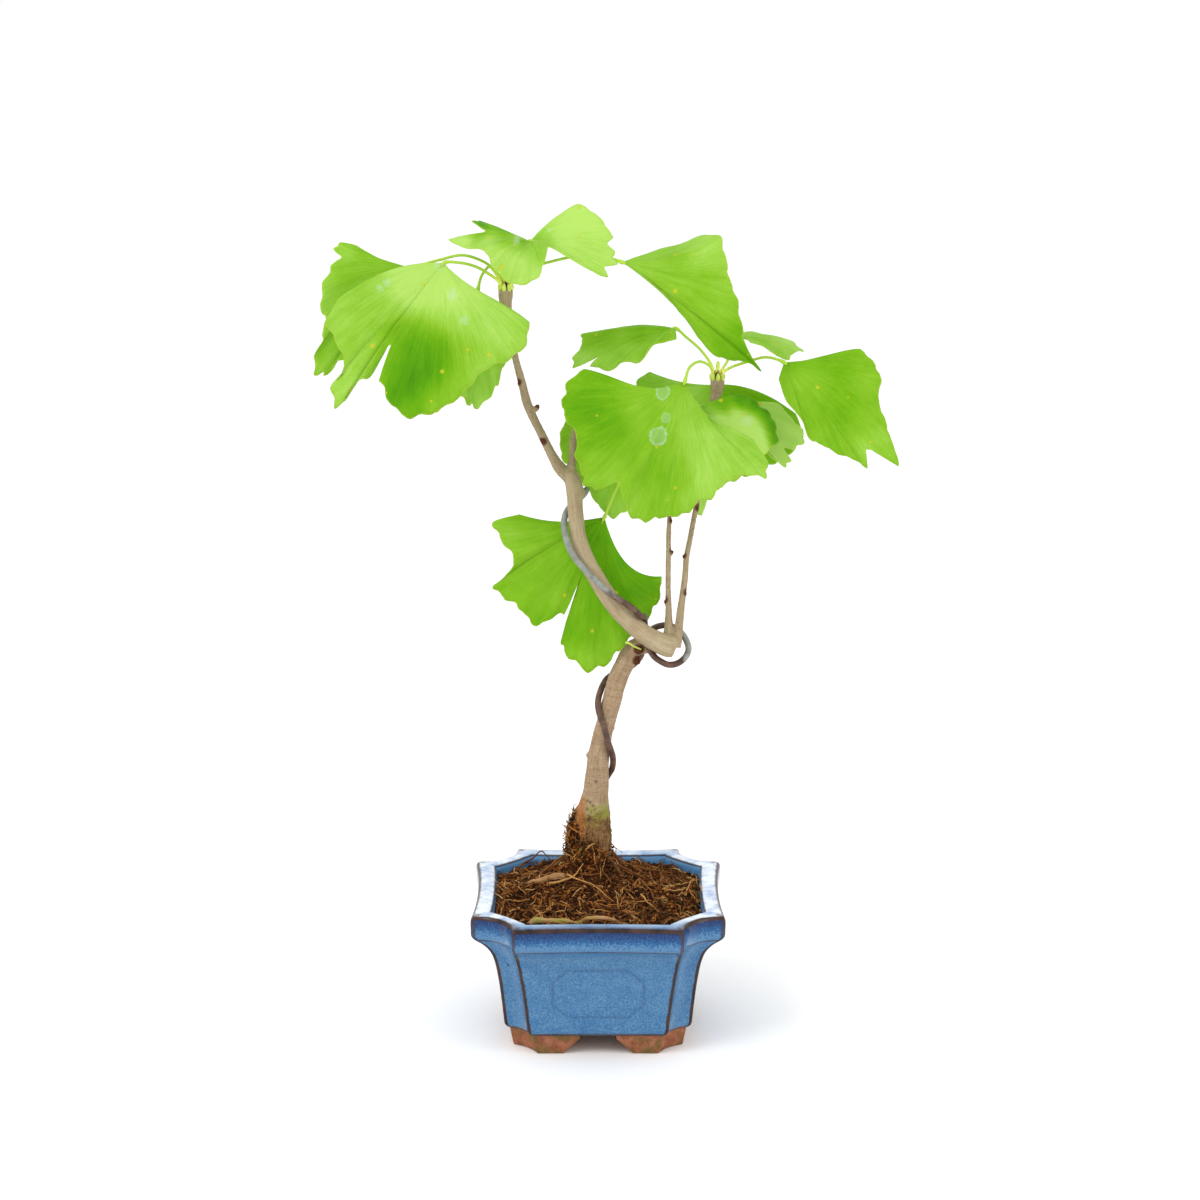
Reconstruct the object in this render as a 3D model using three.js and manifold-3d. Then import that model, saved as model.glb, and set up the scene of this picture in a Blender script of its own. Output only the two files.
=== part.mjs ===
// A small ginkgo bonsai: a square glazed pot with its soil, the wired tree and fourteen fan-shaped leaves.
// Millimetres, +Z up. The pot's centre line is x = 0, y = 0 and its feet stand at z = 0; the whole group is
// moved at the end, so that the origin lies at the centre of its underside.
import * as THREE from 'three';
import { mergeVertices } from 'three/addons/utils/BufferGeometryUtils.js';
import Module from 'manifold-3d';

const wasm = await Module();
wasm.setup();

// ---------------------------------------------------------------- driving dimensions

const GAP = 0.3; // clearance between pieces that touch
const EASE = 0.2; // added to it where two faceted round surfaces run side by side
const SINK = 1.5; // how far a bud starts inside the spur that it tops

// Facets: sides round a limb, and steps along it
const SIDES = {
  trunk: 12, branch: 10, twig: 6, root: 6, stalk: 5, wire: 6, drain: 24, trunkHole: 16, wireHole: 8,
};
const TRUNK_STEPS = 26;
const BRANCH_STEPS = 18;
const STEPS_PER_POINT = 2; // on twigs, roots and stalks
const HOLE_STEPS = 8;

// Pot. A level is a half width, the half length of its flat panels, how far the panels bow in, and a height.
const POT_HEIGHT = 69;
const FOOT_HEIGHT = 10;
const FLOOR_TOP = 16;
const POT_OUTSIDE = [
  { half: 42.6, panel: 31.6, bow: 0, z: FOOT_HEIGHT },
  { half: 44.4, panel: 33.0, bow: 0, z: 12 },
  { half: 45.7, panel: 34.6, bow: 0, z: 24 },
  { half: 47.0, panel: 36.0, bow: 0.2, z: 35 },
  { half: 49.2, panel: 37.8, bow: 0.4, z: 46.5 },
  { half: 51.2, panel: 38.8, bow: 0.8, z: 51 },
  { half: 54.4, panel: 39.5, bow: 1.2, z: 54.5 },
  { half: 58.4, panel: 39.9, bow: 1.8, z: 57.8 },
  { half: 60.0, panel: 40.2, bow: 2.2, z: 61 },
  { half: 60.0, panel: 40.2, bow: 2.2, z: 67.2 },
  { half: 58.8, panel: 39.6, bow: 2.2, z: POT_HEIGHT },
];
const POT_INSIDE = [
  { half: 50.6, panel: 33.6, bow: 1, z: POT_HEIGHT },
  { half: 49.6, panel: 33.0, bow: 1, z: 67.4 },
  { half: 49.1, panel: 32.8, bow: 0.9, z: 63 },
  { half: 48.4, panel: 32.6, bow: 0.7, z: 56 },
  { half: 43.6, panel: 31.2, bow: 0.3, z: 46 },
  { half: 40.4, panel: 29.0, bow: 0, z: 30 },
  { half: 36.0, panel: 26.5, bow: 0, z: FLOOR_TOP },
];
const NOTCH_INSET = 1; // the corner hollow's centre lies this far inside the square's corner
const PANEL_STEPS = 4;
const NOTCH_STEPS = 6;
const FOOT_SOLE = { half: 40.4, panel: 28.8, bow: 0, z: 0 };
const FOOT_TOP = { half: 42.0, panel: 31.0, bow: 0, z: FOOT_HEIGHT + 1 };
const FOOT_INNER_HALF = 25;
const FOOT_GAP_SOLE = 16; // half width of the opening between two feet, at the sole
const FOOT_GAP_TOP = 8.5;
const DRAIN_RADIUS = 8;

const SCREEN_SIZE = 30;
const SCREEN_THICKNESS = 1;
const SCREEN_HOLE = 4.6;
const SCREEN_PITCH = 7;
const SCREEN_ROWS = [-1.5, -0.5, 0.5, 1.5]; // hole rows each way, in pitches from the middle

// Soil
const SOIL_LEVEL = 67.6;
const SOIL_CORNER_DROP = 4;
const SOIL_RINGS = [0.16, 0.3, 0.44, 0.58, 0.72, 0.87, 1];
const MOUND_HEIGHT = 15;
const MOUND_SPREAD = 19;
const SOIL_BUMPS = 0.7;

// Tree: centre lines as [x, y, z, radius], from the butt to the tip.
const TRUNK = [
  [-3.5, 9, 46, 6.0], [-3.7, 9, 66, 8.6], [-3.9, 9, 84, 10.4], [-3.9, 9, 95, 10.4], [-3.4, 9, 103, 9.2],
  [-2.2, 9, 108.6, 7.6], [-1.2, 9, 113.6, 6.3], [-0.6, 9, 121, 5.8], [0, 9, 130, 5.3], [1.4, 9.1, 139, 4.8],
  [3.3, 9.4, 148, 4.6], [6.5, 10, 159.6, 4.6], [9.1, 10.6, 169.4, 4.7], [12.8, 11.2, 178, 4.6],
  [16.5, 12, 184.6, 4.4], [22, 11, 187, 4.2], [28, 6, 188.3, 4.2], [31.5, 0, 190, 4.2], [33, -3, 191, 4.0],
];
const BRANCH = [
  [36.2, -5, 189.7, 4.4], [34.4, -5, 190.4, 5.1], [30, -5, 191.9, 5.1], [24.4, -5, 194.8, 4.7],
  [16.4, -5, 201.1, 4.4], [7.5, -5, 210.8, 4.2], [1.8, -5, 219.5, 4.1], [-4.2, -5, 230.2, 4.0],
  [-8.2, -5, 239.8, 3.9], [-10.2, -5, 251, 3.7], [-10.7, -4.6, 259.3, 3.7], [-11.2, -4.2, 268.3, 4.0],
  [-13.6, -4, 275, 3.6],
];
const TWIGS = {
  left: [
    [-13.5, -4, 272, 3.2], [-17.7, -4, 276.3, 2.9], [-20.8, -4.3, 281.4, 2.3], [-25.4, -4.8, 291, 2.0],
    [-30, -5.4, 300.6, 2.0], [-32.6, -5.8, 307, 2.1], [-35.7, -6.6, 319.8, 1.8], [-38, -7, 328.7, 1.6],
    [-40.6, -7.6, 343, 1.7], [-42.2, -8, 354, 2.8], [-42.3, -8, 358, 3.3], [-42.3, -8, 361, 3.4],
  ],
  stub: [
    [-13.6, -4, 272, 2.8], [-12.2, -2.8, 278, 1.9], [-11.4, 0, 289, 1.6], [-9.2, 2, 295, 2.1],
    [-7.2, 3, 298, 2.8], [-6.8, 3, 300.5, 3.0],
  ],
  middle: [
    [32.9, -2, 193, 2.4], [33.2, 0, 199.5, 2.1], [33.2, 0.8, 206, 1.6], [32.9, 1.6, 221, 1.3],
    [33, 2.4, 233.6, 1.3], [33.3, 3, 250.6, 1.1], [35, 3.5, 274, 1.2], [36.2, 4, 287, 2.0],
    [36.6, 4, 292.5, 2.8], [36.6, 4, 295, 3.0],
  ],
  right: [
    [36.2, -3, 190, 3.0], [37.6, -1, 195.4, 2.3], [38.9, 1, 206.8, 1.8], [40.8, 2.6, 221.8, 1.5],
    [41.5, 3.4, 231.4, 1.4], [43.6, 4.4, 242.9, 1.3], [47.2, 6, 262.6, 1.3], [50.9, 8.6, 284.5, 1.4],
    [53.6, 11, 303.6, 2.0], [55.2, 11.8, 309, 2.7], [55.6, 12, 313, 3.3],
    [55.6, 12, 315.5, 3.4],
  ],
};
const BUD_HEIGHT = 4.5;
const BUD_RADIUS = 1.0;
// Side buds on the twigs: [x, y, z, radius]
const SIDE_BUDS = [
  [-29.6, -6.6, 305, 1.6], [34.4, 1.8, 234, 1.2], [41.4, 2.2, 231.6, 1.1], [31.8, 0.4, 210, 1.2],
  [-35.5, -8, 316, 1.0], [40.8, 1.6, 214, 1.1],
];
// Surface roots: the ground plan as [x, y] from the trunk outward; the height follows the soil.
const ROOTS = [
  { plan: [[-11, 12], [-20, 18], [-28, 21], [-36, 20], [-44, 17]], radius: 2.0 },
  { plan: [[-11, 6], [-16, 1], [-25, 3], [-33, 1]], radius: 1.5 },
  {
    plan: [[-9, 4], [-20, -8], [-31, -19], [-34, -33], [-26, -43], [-13, -46], [0, -47], [11, -47]], radius: 2.0,
  },
  { plan: [[-6, 1], [-11, -6], [-8, -13], [-1, -17], [5, -21]], radius: 1.4 },
  { plan: [[5, 5], [13, 2], [20, -2], [24, -11], [28, -23]], radius: 1.3 },
  { plan: [[5, 11], [12, 17], [21, 19], [29, 15]], radius: 1.7 },
  { plan: [[-7, 18], [-9, 27], [-20, 34], [-34, 36]], radius: 1.6 },
];
const ROOT_RISE = 7; // how far above the soil a root leaves the trunk

// Training wire: its route; wherever it would cut into the bark it is bent clear of it.
const WIRE_RADIUS = 1.5;
const WIRE_STEPS = 90;
const WIRE_ROUTE = [
  [1, 26, 62], [1, 23, 74], [1, 21.5, 88], [1, 20.5, 100], [3, 18, 110], [6, 13, 119], [7, 9.5, 127],
  [6.1, 5.4, 136.5], [4.6, 3.2, 143], [3.1, 3, 148], [1.2, 4.5, 153.5], [0.2, 8, 159], [1.5, 13, 164.6],
  [4.6, 17, 169], [10.5, 18, 172], [16.2, 17.5, 175], [20.4, 17, 180], [22, 17.5, 187], [24.5, 15.5, 192.5],
  [29, 12, 196], [34, 9, 197], [39, 6, 194.7], [41.8, 3.4, 191], [42.6, 0.6, 186.8], [39.5, -1, 182.6],
  [34.4, -2, 180.8], [29.6, -1.6, 182.4], [26, 0, 185], [24.2, 2.2, 189], [23, 2.2, 194.5],
  [21.8, -1.4, 200.4], [19.6, -7.5, 206.4], [15.2, -11, 211.4], [9.8, -11.6, 215.3], [3.8, -11.6, 219.7],
  [-1.5, -11.4, 224.6], [-6.6, -11.2, 230], [-10.9, -10.8, 235.2], [-13.8, -9.6, 240.6], [-15.4, -7.4, 246.2],
  [-15.8, -4, 251], [-14.4, -0.4, 255.2], [-10.3, 1.4, 259], [-6.6, 0, 263], [-5.2, -2, 266],
];
const BARK_SAMPLES = 80; // points along each limb that the wire is held clear of

// Leaves. Each has the spur it grows on, its stalk's route, the join of stalk and blade, and the crests of the
// margin as tips, fanned from one side of the blade to the other. Between two tips the margin draws in by the
// depth, as a share of its reach; a split, placed in tips from the first, draws in to a point of its own. The
// arch is how far the ribs bow from a straight line, at even steps across the fan.
const BLADE_THICKNESS = 0.7;
const STALK_RADIUS = 0.75;
const STALK_RUN = 2; // how far the stalk runs on into the blade
const STALK_RING = 2.4; // stalks stand on this radius round the bud
const RIB_RINGS = [0.3, 0.65, 1];
const LEAVES = [
  {
    name: 'leaf_left_front', spur: 'left', turn: 205, depth: 0.02,
    stalk: [[-51, -10, 369], [-56, -12, 372], [-63, -14, 374]], join: [-70, -15, 374],
    tips: [
      [-120, -30, 360], [-123, -34, 349], [-118, -36, 340], [-115, -37, 330], [-121, -38, 321],
      [-119, -38, 311], [-113, -38, 318], [-106, -38, 325], [-99, -38, 324], [-95, -38, 315],
      [-86, -38, 307], [-75, -37, 309], [-64, -35, 315], [-57, -34, 322], [-50, -33, 329],
      [-41, -31, 332], [-33, -29, 338], [-28, -25, 347],
    ],
    splits: [[7.5, [-96, -31, 343]]],
    arch: [[0, -2, 5], [0, -8, 6], [0, -8, 6], [0, -3, 2]],
  },
  {
    name: 'leaf_left_back', spur: 'left', turn: 155, depth: 0.03,
    stalk: [[-49, -7, 371], [-54, -6, 374], [-62, -5, 376], [-72, -5, 374]], join: [-85, -5, 370],
    tips: [
      [-112, -4, 381], [-118, -5, 382], [-121, -6, 379], [-122, -8, 372], [-126, -10, 364], [-127, -12, 353],
      [-126, -14, 342], [-130, -15, 331], [-130, -16, 322], [-125, -16, 322], [-119, -16, 329],
      [-113, -16, 324], [-106, -16, 320], [-96, -14, 334],
    ],
    splits: [[2.5, [-117, -7, 373]]],
    arch: [[0, 0, -2], [0, 0, 4], [0, 2, 2]],
  },
  {
    name: 'leaf_left_hanging', spur: 'left', turn: 105, depth: 0.03,
    stalk: [[-49, -5, 371], [-53, -5, 367]], join: [-55, -5, 360],
    tips: [
      [-83, -10, 321], [-80, -11, 311], [-75, -12, 304], [-64, -12, 311], [-60, -12, 307],
      [-56, -12, 305], [-49, -12, 311], [-46, -8, 316], [-42, -4, 326], [-39, 0, 335],
    ],
    splits: [],
    arch: [[0, 2, 2], [0, 5, 2], [0, 2, 2]],
  },
  {
    name: 'leaf_crown', spur: 'left', turn: 50, depth: 0.03,
    stalk: [[-42, -6, 367], [-39, 0, 374]], join: [-31, -2, 382],
    tips: [
      [-56, 12, 391], [-58, 4, 390], [-68, -13, 385], [-59, -19, 381], [-51, -23, 381], [-48, -26, 374],
      [-41, -28, 368], [-33, -28, 366], [-27, -26, 370], [-24, -22, 376], [-14, -8, 377], [-4, -6, 369],
      [5, -5, 366], [9, -2, 371], [8, 0, 377], [7, 2, 383], [1, 5, 392], [-8, 8, 397], [-15, 9, 395],
    ],
    splits: [[1.5, [-49, 2, 387]], [9.5, [-24, -12, 379]], [12.5, [3, -4, 371]], [14.5, [4, 1, 381]]],
    arch: [[0, 0, 0], [0, -2, 3], [0, -3, 3], [0, 0, 2], [0, 0, 1]],
  },
  {
    name: 'leaf_long_stalk', spur: 'left', turn: 335, depth: 0.015,
    stalk: [[-38, -6, 366], [-32, 1, 369], [-24, 4, 371], [-10, 4, 374], [3, 2, 374]], join: [11, 0, 372],
    tips: [
      [48, -14, 337], [54, -16, 331], [61, -16, 329], [69, -16, 328], [75, -15, 324], [69, -14, 334],
      [66, -14, 345], [64, -12, 357], [61, -10, 364], [59, -8, 374], [56, -3, 385], [50, 5, 383],
      [42, 12, 380],
    ],
    splits: [],
    arch: [[0, 2, 5], [0, -2, 4], [0, -4, 3], [0, -4, 1], [0, -3, -4], [0, 5, 0]],
  },
  {
    name: 'leaf_centre_front', spur: 'right', turn: 205, depth: 0.022,
    stalk: [[52, 8, 322], [47, 4, 325], [42, -2, 323]], join: [40, -4, 317],
    tips: [
      [-10, -14, 326], [-15, -17, 319], [-17, -20, 311], [-15, -22, 303], [-10, -23, 295],
      [-11, -24, 287], [-8, -25, 279], [-7, -26, 273], [-1, -27, 271], [11, -28, 267], [15, -28, 258],
      [22, -28, 256], [29, -28, 258], [36, -28, 259], [42, -28, 261], [52, -27, 267], [56, -27, 273],
      [63, -26, 277], [70, -25, 278], [77, -24, 276], [78, -23, 283], [74, -21, 292],
    ],
    splits: [[8.5, [8, -26, 277]], [14.5, [46, -27, 268]]],
    arch: [[0, -3, 0], [0, -6, 1], [0, -6, 1], [0, -4, -1]],
  },
  {
    name: 'leaf_centre_arched', spur: 'right', turn: 155, depth: 0.03,
    stalk: [[53, 14, 321], [48, 16, 328], [41, 18, 334]], join: [36, 18, 338],
    tips: [
      [1, 36, 334], [-8, 26, 333], [-8, 21, 330], [-12, 17, 324], [-12, 14, 320], [-4, 11, 321],
      [4, 8, 320], [11, 5, 324], [18, 2, 325], [24, 2, 331], [30, 4, 334], [36, 8, 334],
    ],
    splits: [[4.5, [0, 14, 329]]],
    arch: [[0, 0, 2], [0, 0, 3], [0, 0, 1]],
  },
  {
    name: 'leaf_right_back', spur: 'right', turn: 50, depth: 0.04,
    stalk: [[58, 16, 319], [61, 22, 323]], join: [63, 32, 331],
    tips: [
      [77, 54, 328], [86, 52, 327], [92, 48, 326], [98, 42, 323], [94, 38, 323], [90, 34, 320],
      [84, 31, 322], [79, 29, 327], [72, 28, 329],
    ],
    splits: [[5.5, [86, 33, 325]]],
    arch: [[0, 0, 2], [0, 0, 3], [0, 0, 2]],
  },
  {
    name: 'leaf_right_end', spur: 'right', turn: 340, depth: 0.018,
    stalk: [[59, 12, 319], [62, 11, 321], [69, 8, 324], [78, 4, 327]], join: [86, 2, 325],
    tips: [
      [124, 8, 330], [128, 5, 325], [131, 2, 317], [130, -2, 308], [133, -4, 299], [136, -6, 290],
      [139, -8, 278], [125, -8, 277], [119, -8, 281], [111, -8, 284], [104, -8, 288], [98, -8, 291],
      [93, -7, 301], [87, -5, 308], [83, -2, 317],
    ],
    splits: [[6.5, [127, -7, 289]]],
    arch: [[0, 0, 2], [0, -4, 4], [0, -3, 2], [0, 0, 0]],
  },
  {
    name: 'leaf_right_behind', spur: 'right', turn: 105, depth: 0.025,
    stalk: [[56, 15, 320], [56, 18, 322]], join: [55, 20, 311],
    tips: [
      [22, 26, 316], [18, 26, 311], [20, 24, 293], [24, 23, 281], [30, 22, 269], [39, 20, 257],
      [49, 18, 248], [58, 18, 261], [65, 19, 264], [71, 20, 266], [77, 21, 268], [84, 22, 272],
      [92, 24, 277], [97, 26, 283], [96, 28, 294],
    ],
    splits: [[6.5, [54, 18, 266]]],
    arch: [[0, 2, -2], [0, 4, 0], [0, 2, 4]],
  },
  {
    name: 'leaf_middle_curled', spur: 'middle', turn: 350, depth: 0.03,
    stalk: [[39, 3, 299], [40, 1, 303]], join: [44, 0, 302],
    tips: [
      [60, 6, 307], [68, 6, 309], [74, 5, 307], [79, 4, 302], [83, 2, 295], [84, 0, 288], [77, -5, 283],
      [68, -8, 280], [54, -10, 284],
    ],
    splits: [],
    arch: [[0, -3, 2], [0, -6, 4], [0, -3, 0]],
  },
  {
    name: 'leaf_middle_forked', spur: 'middle', turn: 60, depth: 0.03,
    stalk: [[38, 6, 300], [46, 12, 302], [54, 15, 302]], join: [61, 13, 300],
    tips: [
      [78, 16, 304], [85, 16, 302], [91, 16, 296], [96, 15, 290], [97, 14, 284], [92, 13, 281],
      [91, 12, 276], [88, 12, 273], [83, 12, 277], [76, 10, 285],
    ],
    splits: [[5.5, [88, 13, 284]]],
    arch: [[0, 0, 2], [0, -1, 2], [0, 0, 0]],
  },
  {
    name: 'leaf_low', spur: 'stub', turn: 340, depth: 0.022,
    stalk: [[-3, 2, 303], [5, 0, 293], [10, 0, 279], [10, 1, 269], [7, 3, 261]], join: [3, 4, 251],
    tips: [
      [-40, 4, 252], [-50, 2, 248], [-45, 2, 238], [-40, 2, 229], [-44, 2, 222], [-50, 2, 217],
      [-44, 1, 211], [-37, 1, 206], [-30, 1, 198], [-23, 1, 201], [-16, 2, 203], [-18, 3, 190],
      [-15, 3, 183], [-5, 4, 175], [4, 5, 178], [12, 5, 187], [18, 5, 194], [24, 6, 201], [29, 7, 209],
      [32, 8, 219],
    ],
    splits: [[10.5, [-9, 3, 222]]],
    arch: [[0, 2, -3], [0, 4, 1], [0, 4, 1], [-1, 2, -2], [-3, 1, -8]],
  },
  {
    name: 'leaf_stub_back', spur: 'stub', turn: 60, depth: 0.03,
    stalk: [[-5, 5, 302], [0, 7, 298]], join: [3, 7, 291],
    tips: [
      [-11, 9, 302], [-15, 9, 296], [-18, 9, 290], [-18, 9, 284], [-17, 8, 277], [-12, 8, 271],
      [-7, 8, 265], [-2, 8, 258], [2, 8, 253], [7, 8, 249], [14, 8, 253], [21, 8, 264],
    ],
    splits: [],
    arch: [[0, 1, 1], [0, 2, 0], [0, 1, 0]],
  },
];

const MATERIALS = {
  glaze: { color: 0x3f78b8, roughness: 0.25, metalness: 0 },
  plastic: { color: 0x2b2b2b, roughness: 0.6, metalness: 0 },
  soil: { color: 0x4a2c17, roughness: 1, metalness: 0 },
  bark: { color: 0xa38d76, roughness: 0.85, metalness: 0 },
  wire: { color: 0x6e6560, roughness: 0.45, metalness: 0.8 },
  leaf: { color: 0x82c828, roughness: 0.5, metalness: 0 },
};

// ---------------------------------------------------------------- solids

// A closed solid from rings of points, each ring in the same order, with a fan at either end.
function loft(rings) {
  const sides = rings[0].length;
  const points = rings.flat();
  const first = points.length;
  points.push(centroid(rings[0]), centroid(rings.at(-1)));
  const faces = [];
  for (let i = 0; i < sides; i++) {
    const j = (i + 1) % sides;
    faces.push(first, j, i);
    for (let level = 0; level + 1 < rings.length; level++) {
      const a = level * sides;
      const b = a + sides;
      faces.push(a + i, a + j, b + j, a + i, b + j, b + i);
    }
    const last = (rings.length - 1) * sides;
    faces.push(first + 1, last + i, last + j);
  }
  return geometryOf(points, faces);
}

function centroid(points) {
  return points.reduce((sum, p) => sum.add(p), new THREE.Vector3()).divideScalar(points.length);
}

function geometryOf(points, faces) {
  const geometry = new THREE.BufferGeometry();
  geometry.setAttribute('position', new THREE.Float32BufferAttribute(points.flatMap((p) => p.toArray()), 3));
  geometry.setIndex(faces);
  return geometry;
}

function solidOf(geometry) {
  const bare = geometry.clone();
  bare.deleteAttribute('normal');
  bare.deleteAttribute('uv');
  const merged = mergeVertices(bare, 1e-4);
  return new wasm.Manifold(new wasm.Mesh({
    numProp: 3,
    vertProperties: new Float32Array(merged.attributes.position.array),
    triVerts: new Uint32Array(merged.index.array),
  }));
}

function joined(geometries) {
  return geometries.map(solidOf).reduce((sum, solid) => sum.add(solid));
}

function cutBy(solid, geometries) {
  return geometries.map(solidOf).reduce((rest, cutter) => rest.subtract(cutter), solid);
}

function meshOf(name, solid, finish) {
  const { vertProperties, triVerts } = solid.getMesh();
  const geometry = new THREE.BufferGeometry();
  geometry.setAttribute('position', new THREE.BufferAttribute(vertProperties, 3));
  geometry.setIndex(new THREE.BufferAttribute(triVerts, 1));
  const mesh = new THREE.Mesh(geometry, new THREE.MeshStandardMaterial(MATERIALS[finish]));
  mesh.name = name;
  return mesh;
}

// A round limb along a centre line of [x, y, z, radius] points.
function limb(line, sides, steps) {
  const curve = curveOf(line);
  const frames = curve.computeFrenetFrames(steps);
  const rings = [];
  for (let step = 0; step <= steps; step++) {
    const share = step / steps;
    const centre = curve.getPointAt(share);
    const radius = radiusAt(line, curve.getUtoTmapping(share));
    rings.push(circle(centre, frames.normals[step], frames.binormals[step], radius, sides));
  }
  return loft(rings);
}

function thinLimb(line, sides) {
  return limb(line, sides, STEPS_PER_POINT * line.length);
}

function curveOf(line) {
  return new THREE.CatmullRomCurve3(line.map(([x, y, z]) => new THREE.Vector3(x, y, z)), false, 'centripetal');
}

function radiusAt(line, along) {
  const place = along * (line.length - 1);
  const before = Math.min(Math.floor(place), line.length - 2);
  return THREE.MathUtils.lerp(line[before][3], line[before + 1][3], place - before);
}

function circle(centre, u, v, radius, sides) {
  return Array.from({ length: sides }, (_, i) => {
    const angle = (i / sides) * 2 * Math.PI;
    const across = u.clone().multiplyScalar(Math.cos(angle)).addScaledVector(v, Math.sin(angle));
    return centre.clone().addScaledVector(across, radius);
  });
}

function tube(line, radius, sides, steps) {
  const section = new THREE.Shape().absarc(0, 0, radius, 0, 2 * Math.PI);
  return new THREE.ExtrudeGeometry(section, {
    extrudePath: curveOf(line), steps, curveSegments: sides / 2, bevelEnabled: false,
  });
}

// ---------------------------------------------------------------- pot

// The plan of the pot at one level: a square whose corners are hollowed by arcs.
function potRing({ half, panel, bow, z }) {
  const centre = half - NOTCH_INSET;
  const radius = Math.hypot(NOTCH_INSET, centre - panel);
  const start = Math.atan2(panel - centre, NOTCH_INSET);
  const end = Math.atan2(NOTCH_INSET, panel - centre) - 2 * Math.PI;
  const quarter = [];
  for (let i = 0; i <= NOTCH_STEPS; i++) {
    const angle = THREE.MathUtils.lerp(start, end, i / NOTCH_STEPS);
    quarter.push([centre + radius * Math.cos(angle), centre + radius * Math.sin(angle)]);
  }
  for (let i = 1; i < PANEL_STEPS; i++) {
    const across = 1 - (2 * i) / PANEL_STEPS;
    quarter.push([panel * across, half - bow * (1 - across ** 2)]);
  }
  const ring = [];
  for (let turn = 0; turn < 4; turn++) {
    const angle = (turn * Math.PI) / 2;
    ring.push(...quarter.map(([x, y]) => new THREE.Vector3(x, y, z).applyAxisAngle(UP, angle)));
  }
  return ring;
}

const UP = new THREE.Vector3(0, 0, 1);

function boxAt(width, depth, height, x, y, z) {
  return new THREE.BoxGeometry(width, depth, height).translate(x, y, z);
}

function footGap(turn) {
  const reach = 60;
  const shape = new THREE.Shape([
    new THREE.Vector2(-FOOT_GAP_SOLE - 1, -1), new THREE.Vector2(FOOT_GAP_SOLE + 1, -1),
    new THREE.Vector2(FOOT_GAP_TOP, FOOT_HEIGHT - 2), new THREE.Vector2(FOOT_GAP_TOP, FOOT_HEIGHT),
    new THREE.Vector2(-FOOT_GAP_TOP, FOOT_HEIGHT), new THREE.Vector2(-FOOT_GAP_TOP, FOOT_HEIGHT - 2),
  ]);
  const prism = new THREE.ExtrudeGeometry(shape, { depth: 2 * reach, bevelEnabled: false });
  return prism.translate(0, 0, -reach).rotateX(Math.PI / 2).rotateZ(turn);
}

function makePot() {
  const bowl = solidOf(loft([...POT_OUTSIDE, ...POT_INSIDE].map(potRing)));
  const inner = 2 * FOOT_INNER_HALF;
  const feet = cutBy(solidOf(loft([potRing(FOOT_SOLE), potRing(FOOT_TOP)])), [
    boxAt(inner, inner, 2 * FOOT_HEIGHT, 0, 0, 0), footGap(0), footGap(Math.PI / 2),
  ]);
  const drain = new THREE.CylinderGeometry(DRAIN_RADIUS, DRAIN_RADIUS, FLOOR_TOP, SIDES.drain);
  return cutBy(bowl.add(feet), [drain.rotateX(Math.PI / 2).translate(0, 0, FLOOR_TOP - 2)]);
}

function makeScreen() {
  const sheet = boxAt(SCREEN_SIZE, SCREEN_SIZE, SCREEN_THICKNESS, 0, 0, FLOOR_TOP + GAP + SCREEN_THICKNESS / 2);
  const holes = SCREEN_ROWS.flatMap((column) => SCREEN_ROWS.map((row) => (
    boxAt(SCREEN_HOLE, SCREEN_HOLE, 4, column * SCREEN_PITCH, row * SCREEN_PITCH, FLOOR_TOP + 1)
  )));
  return cutBy(solidOf(sheet), holes);
}

// ---------------------------------------------------------------- soil

function bumps(x, y) {
  return SOIL_BUMPS * (Math.sin(0.55 * x + 0.4) * Math.cos(0.48 * y - 0.9) + 0.5 * Math.sin(1.1 * x - 0.8 * y));
}

function soilHeight(x, y) {
  const fromTrunk = Math.hypot(x - TRUNK[2][0], y - TRUNK[2][1]);
  const corner = Math.min(1, Math.abs(x * y) / 1500);
  const mound = MOUND_HEIGHT * Math.exp(-((fromTrunk / MOUND_SPREAD) ** 2));
  return SOIL_LEVEL - SOIL_CORNER_DROP * corner + mound + bumps(x, y);
}

// A level of the pot's plan drawn in from the walls by a gap.
function drawnIn(level, gap) {
  return { ...level, half: level.half - gap, panel: level.panel - gap };
}

// The soil fills the pot up to a surface that is swept in rings from the middle to the wall.
function makeSoil() {
  const wall = POT_INSIDE.slice(2).map((level) => potRing(drawnIn(level, GAP + EASE)));
  const lip = wall[0];
  const base = wall.at(-1).map((p) => p.clone().setZ(FLOOR_TOP + GAP));
  const surface = SOIL_RINGS.map((share) => lip.map((p) => {
    const x = p.x * share;
    const y = p.y * share;
    return new THREE.Vector3(x, y, soilHeight(x, y));
  }));
  const below = wall.slice(1, -1);
  const solid = solidOf(loft([base, ...below.reverse(), ...surface.reverse()]));
  const trunkHole = TRUNK.slice(0, 4).map(([x, y, z, radius]) => [x, y, z, radius + 2 * GAP]);
  const wireHole = wireLine().slice(0, HOLE_STEPS);
  for (const hole of [trunkHole, wireHole]) hole[0][2] -= 2 * GAP;
  const recess = SCREEN_SIZE + 2 * GAP;
  return cutBy(solid, [
    limb(trunkHole, SIDES.trunkHole, HOLE_STEPS),
    tube(wireHole, WIRE_RADIUS + 2 * GAP, SIDES.wireHole, HOLE_STEPS),
    boxAt(recess, recess, 2 * (SCREEN_THICKNESS + 2 * GAP), 0, 0, FLOOR_TOP),
  ]);
}

// ---------------------------------------------------------------- tree and wire

function rootLine({ plan, radius }) {
  return plan.map(([x, y], i) => {
    const share = i / (plan.length - 1);
    const thick = radius * (1 - 0.55 * share);
    const lift = ROOT_RISE * (1 - share) ** 3;
    return [x, y, soilHeight(x, y) + thick + GAP + 3 * EASE + lift, thick];
  });
}

function spurTip(name) {
  const [x, y, z] = TWIGS[name].at(-1);
  return new THREE.Vector3(x, y, z);
}

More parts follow.
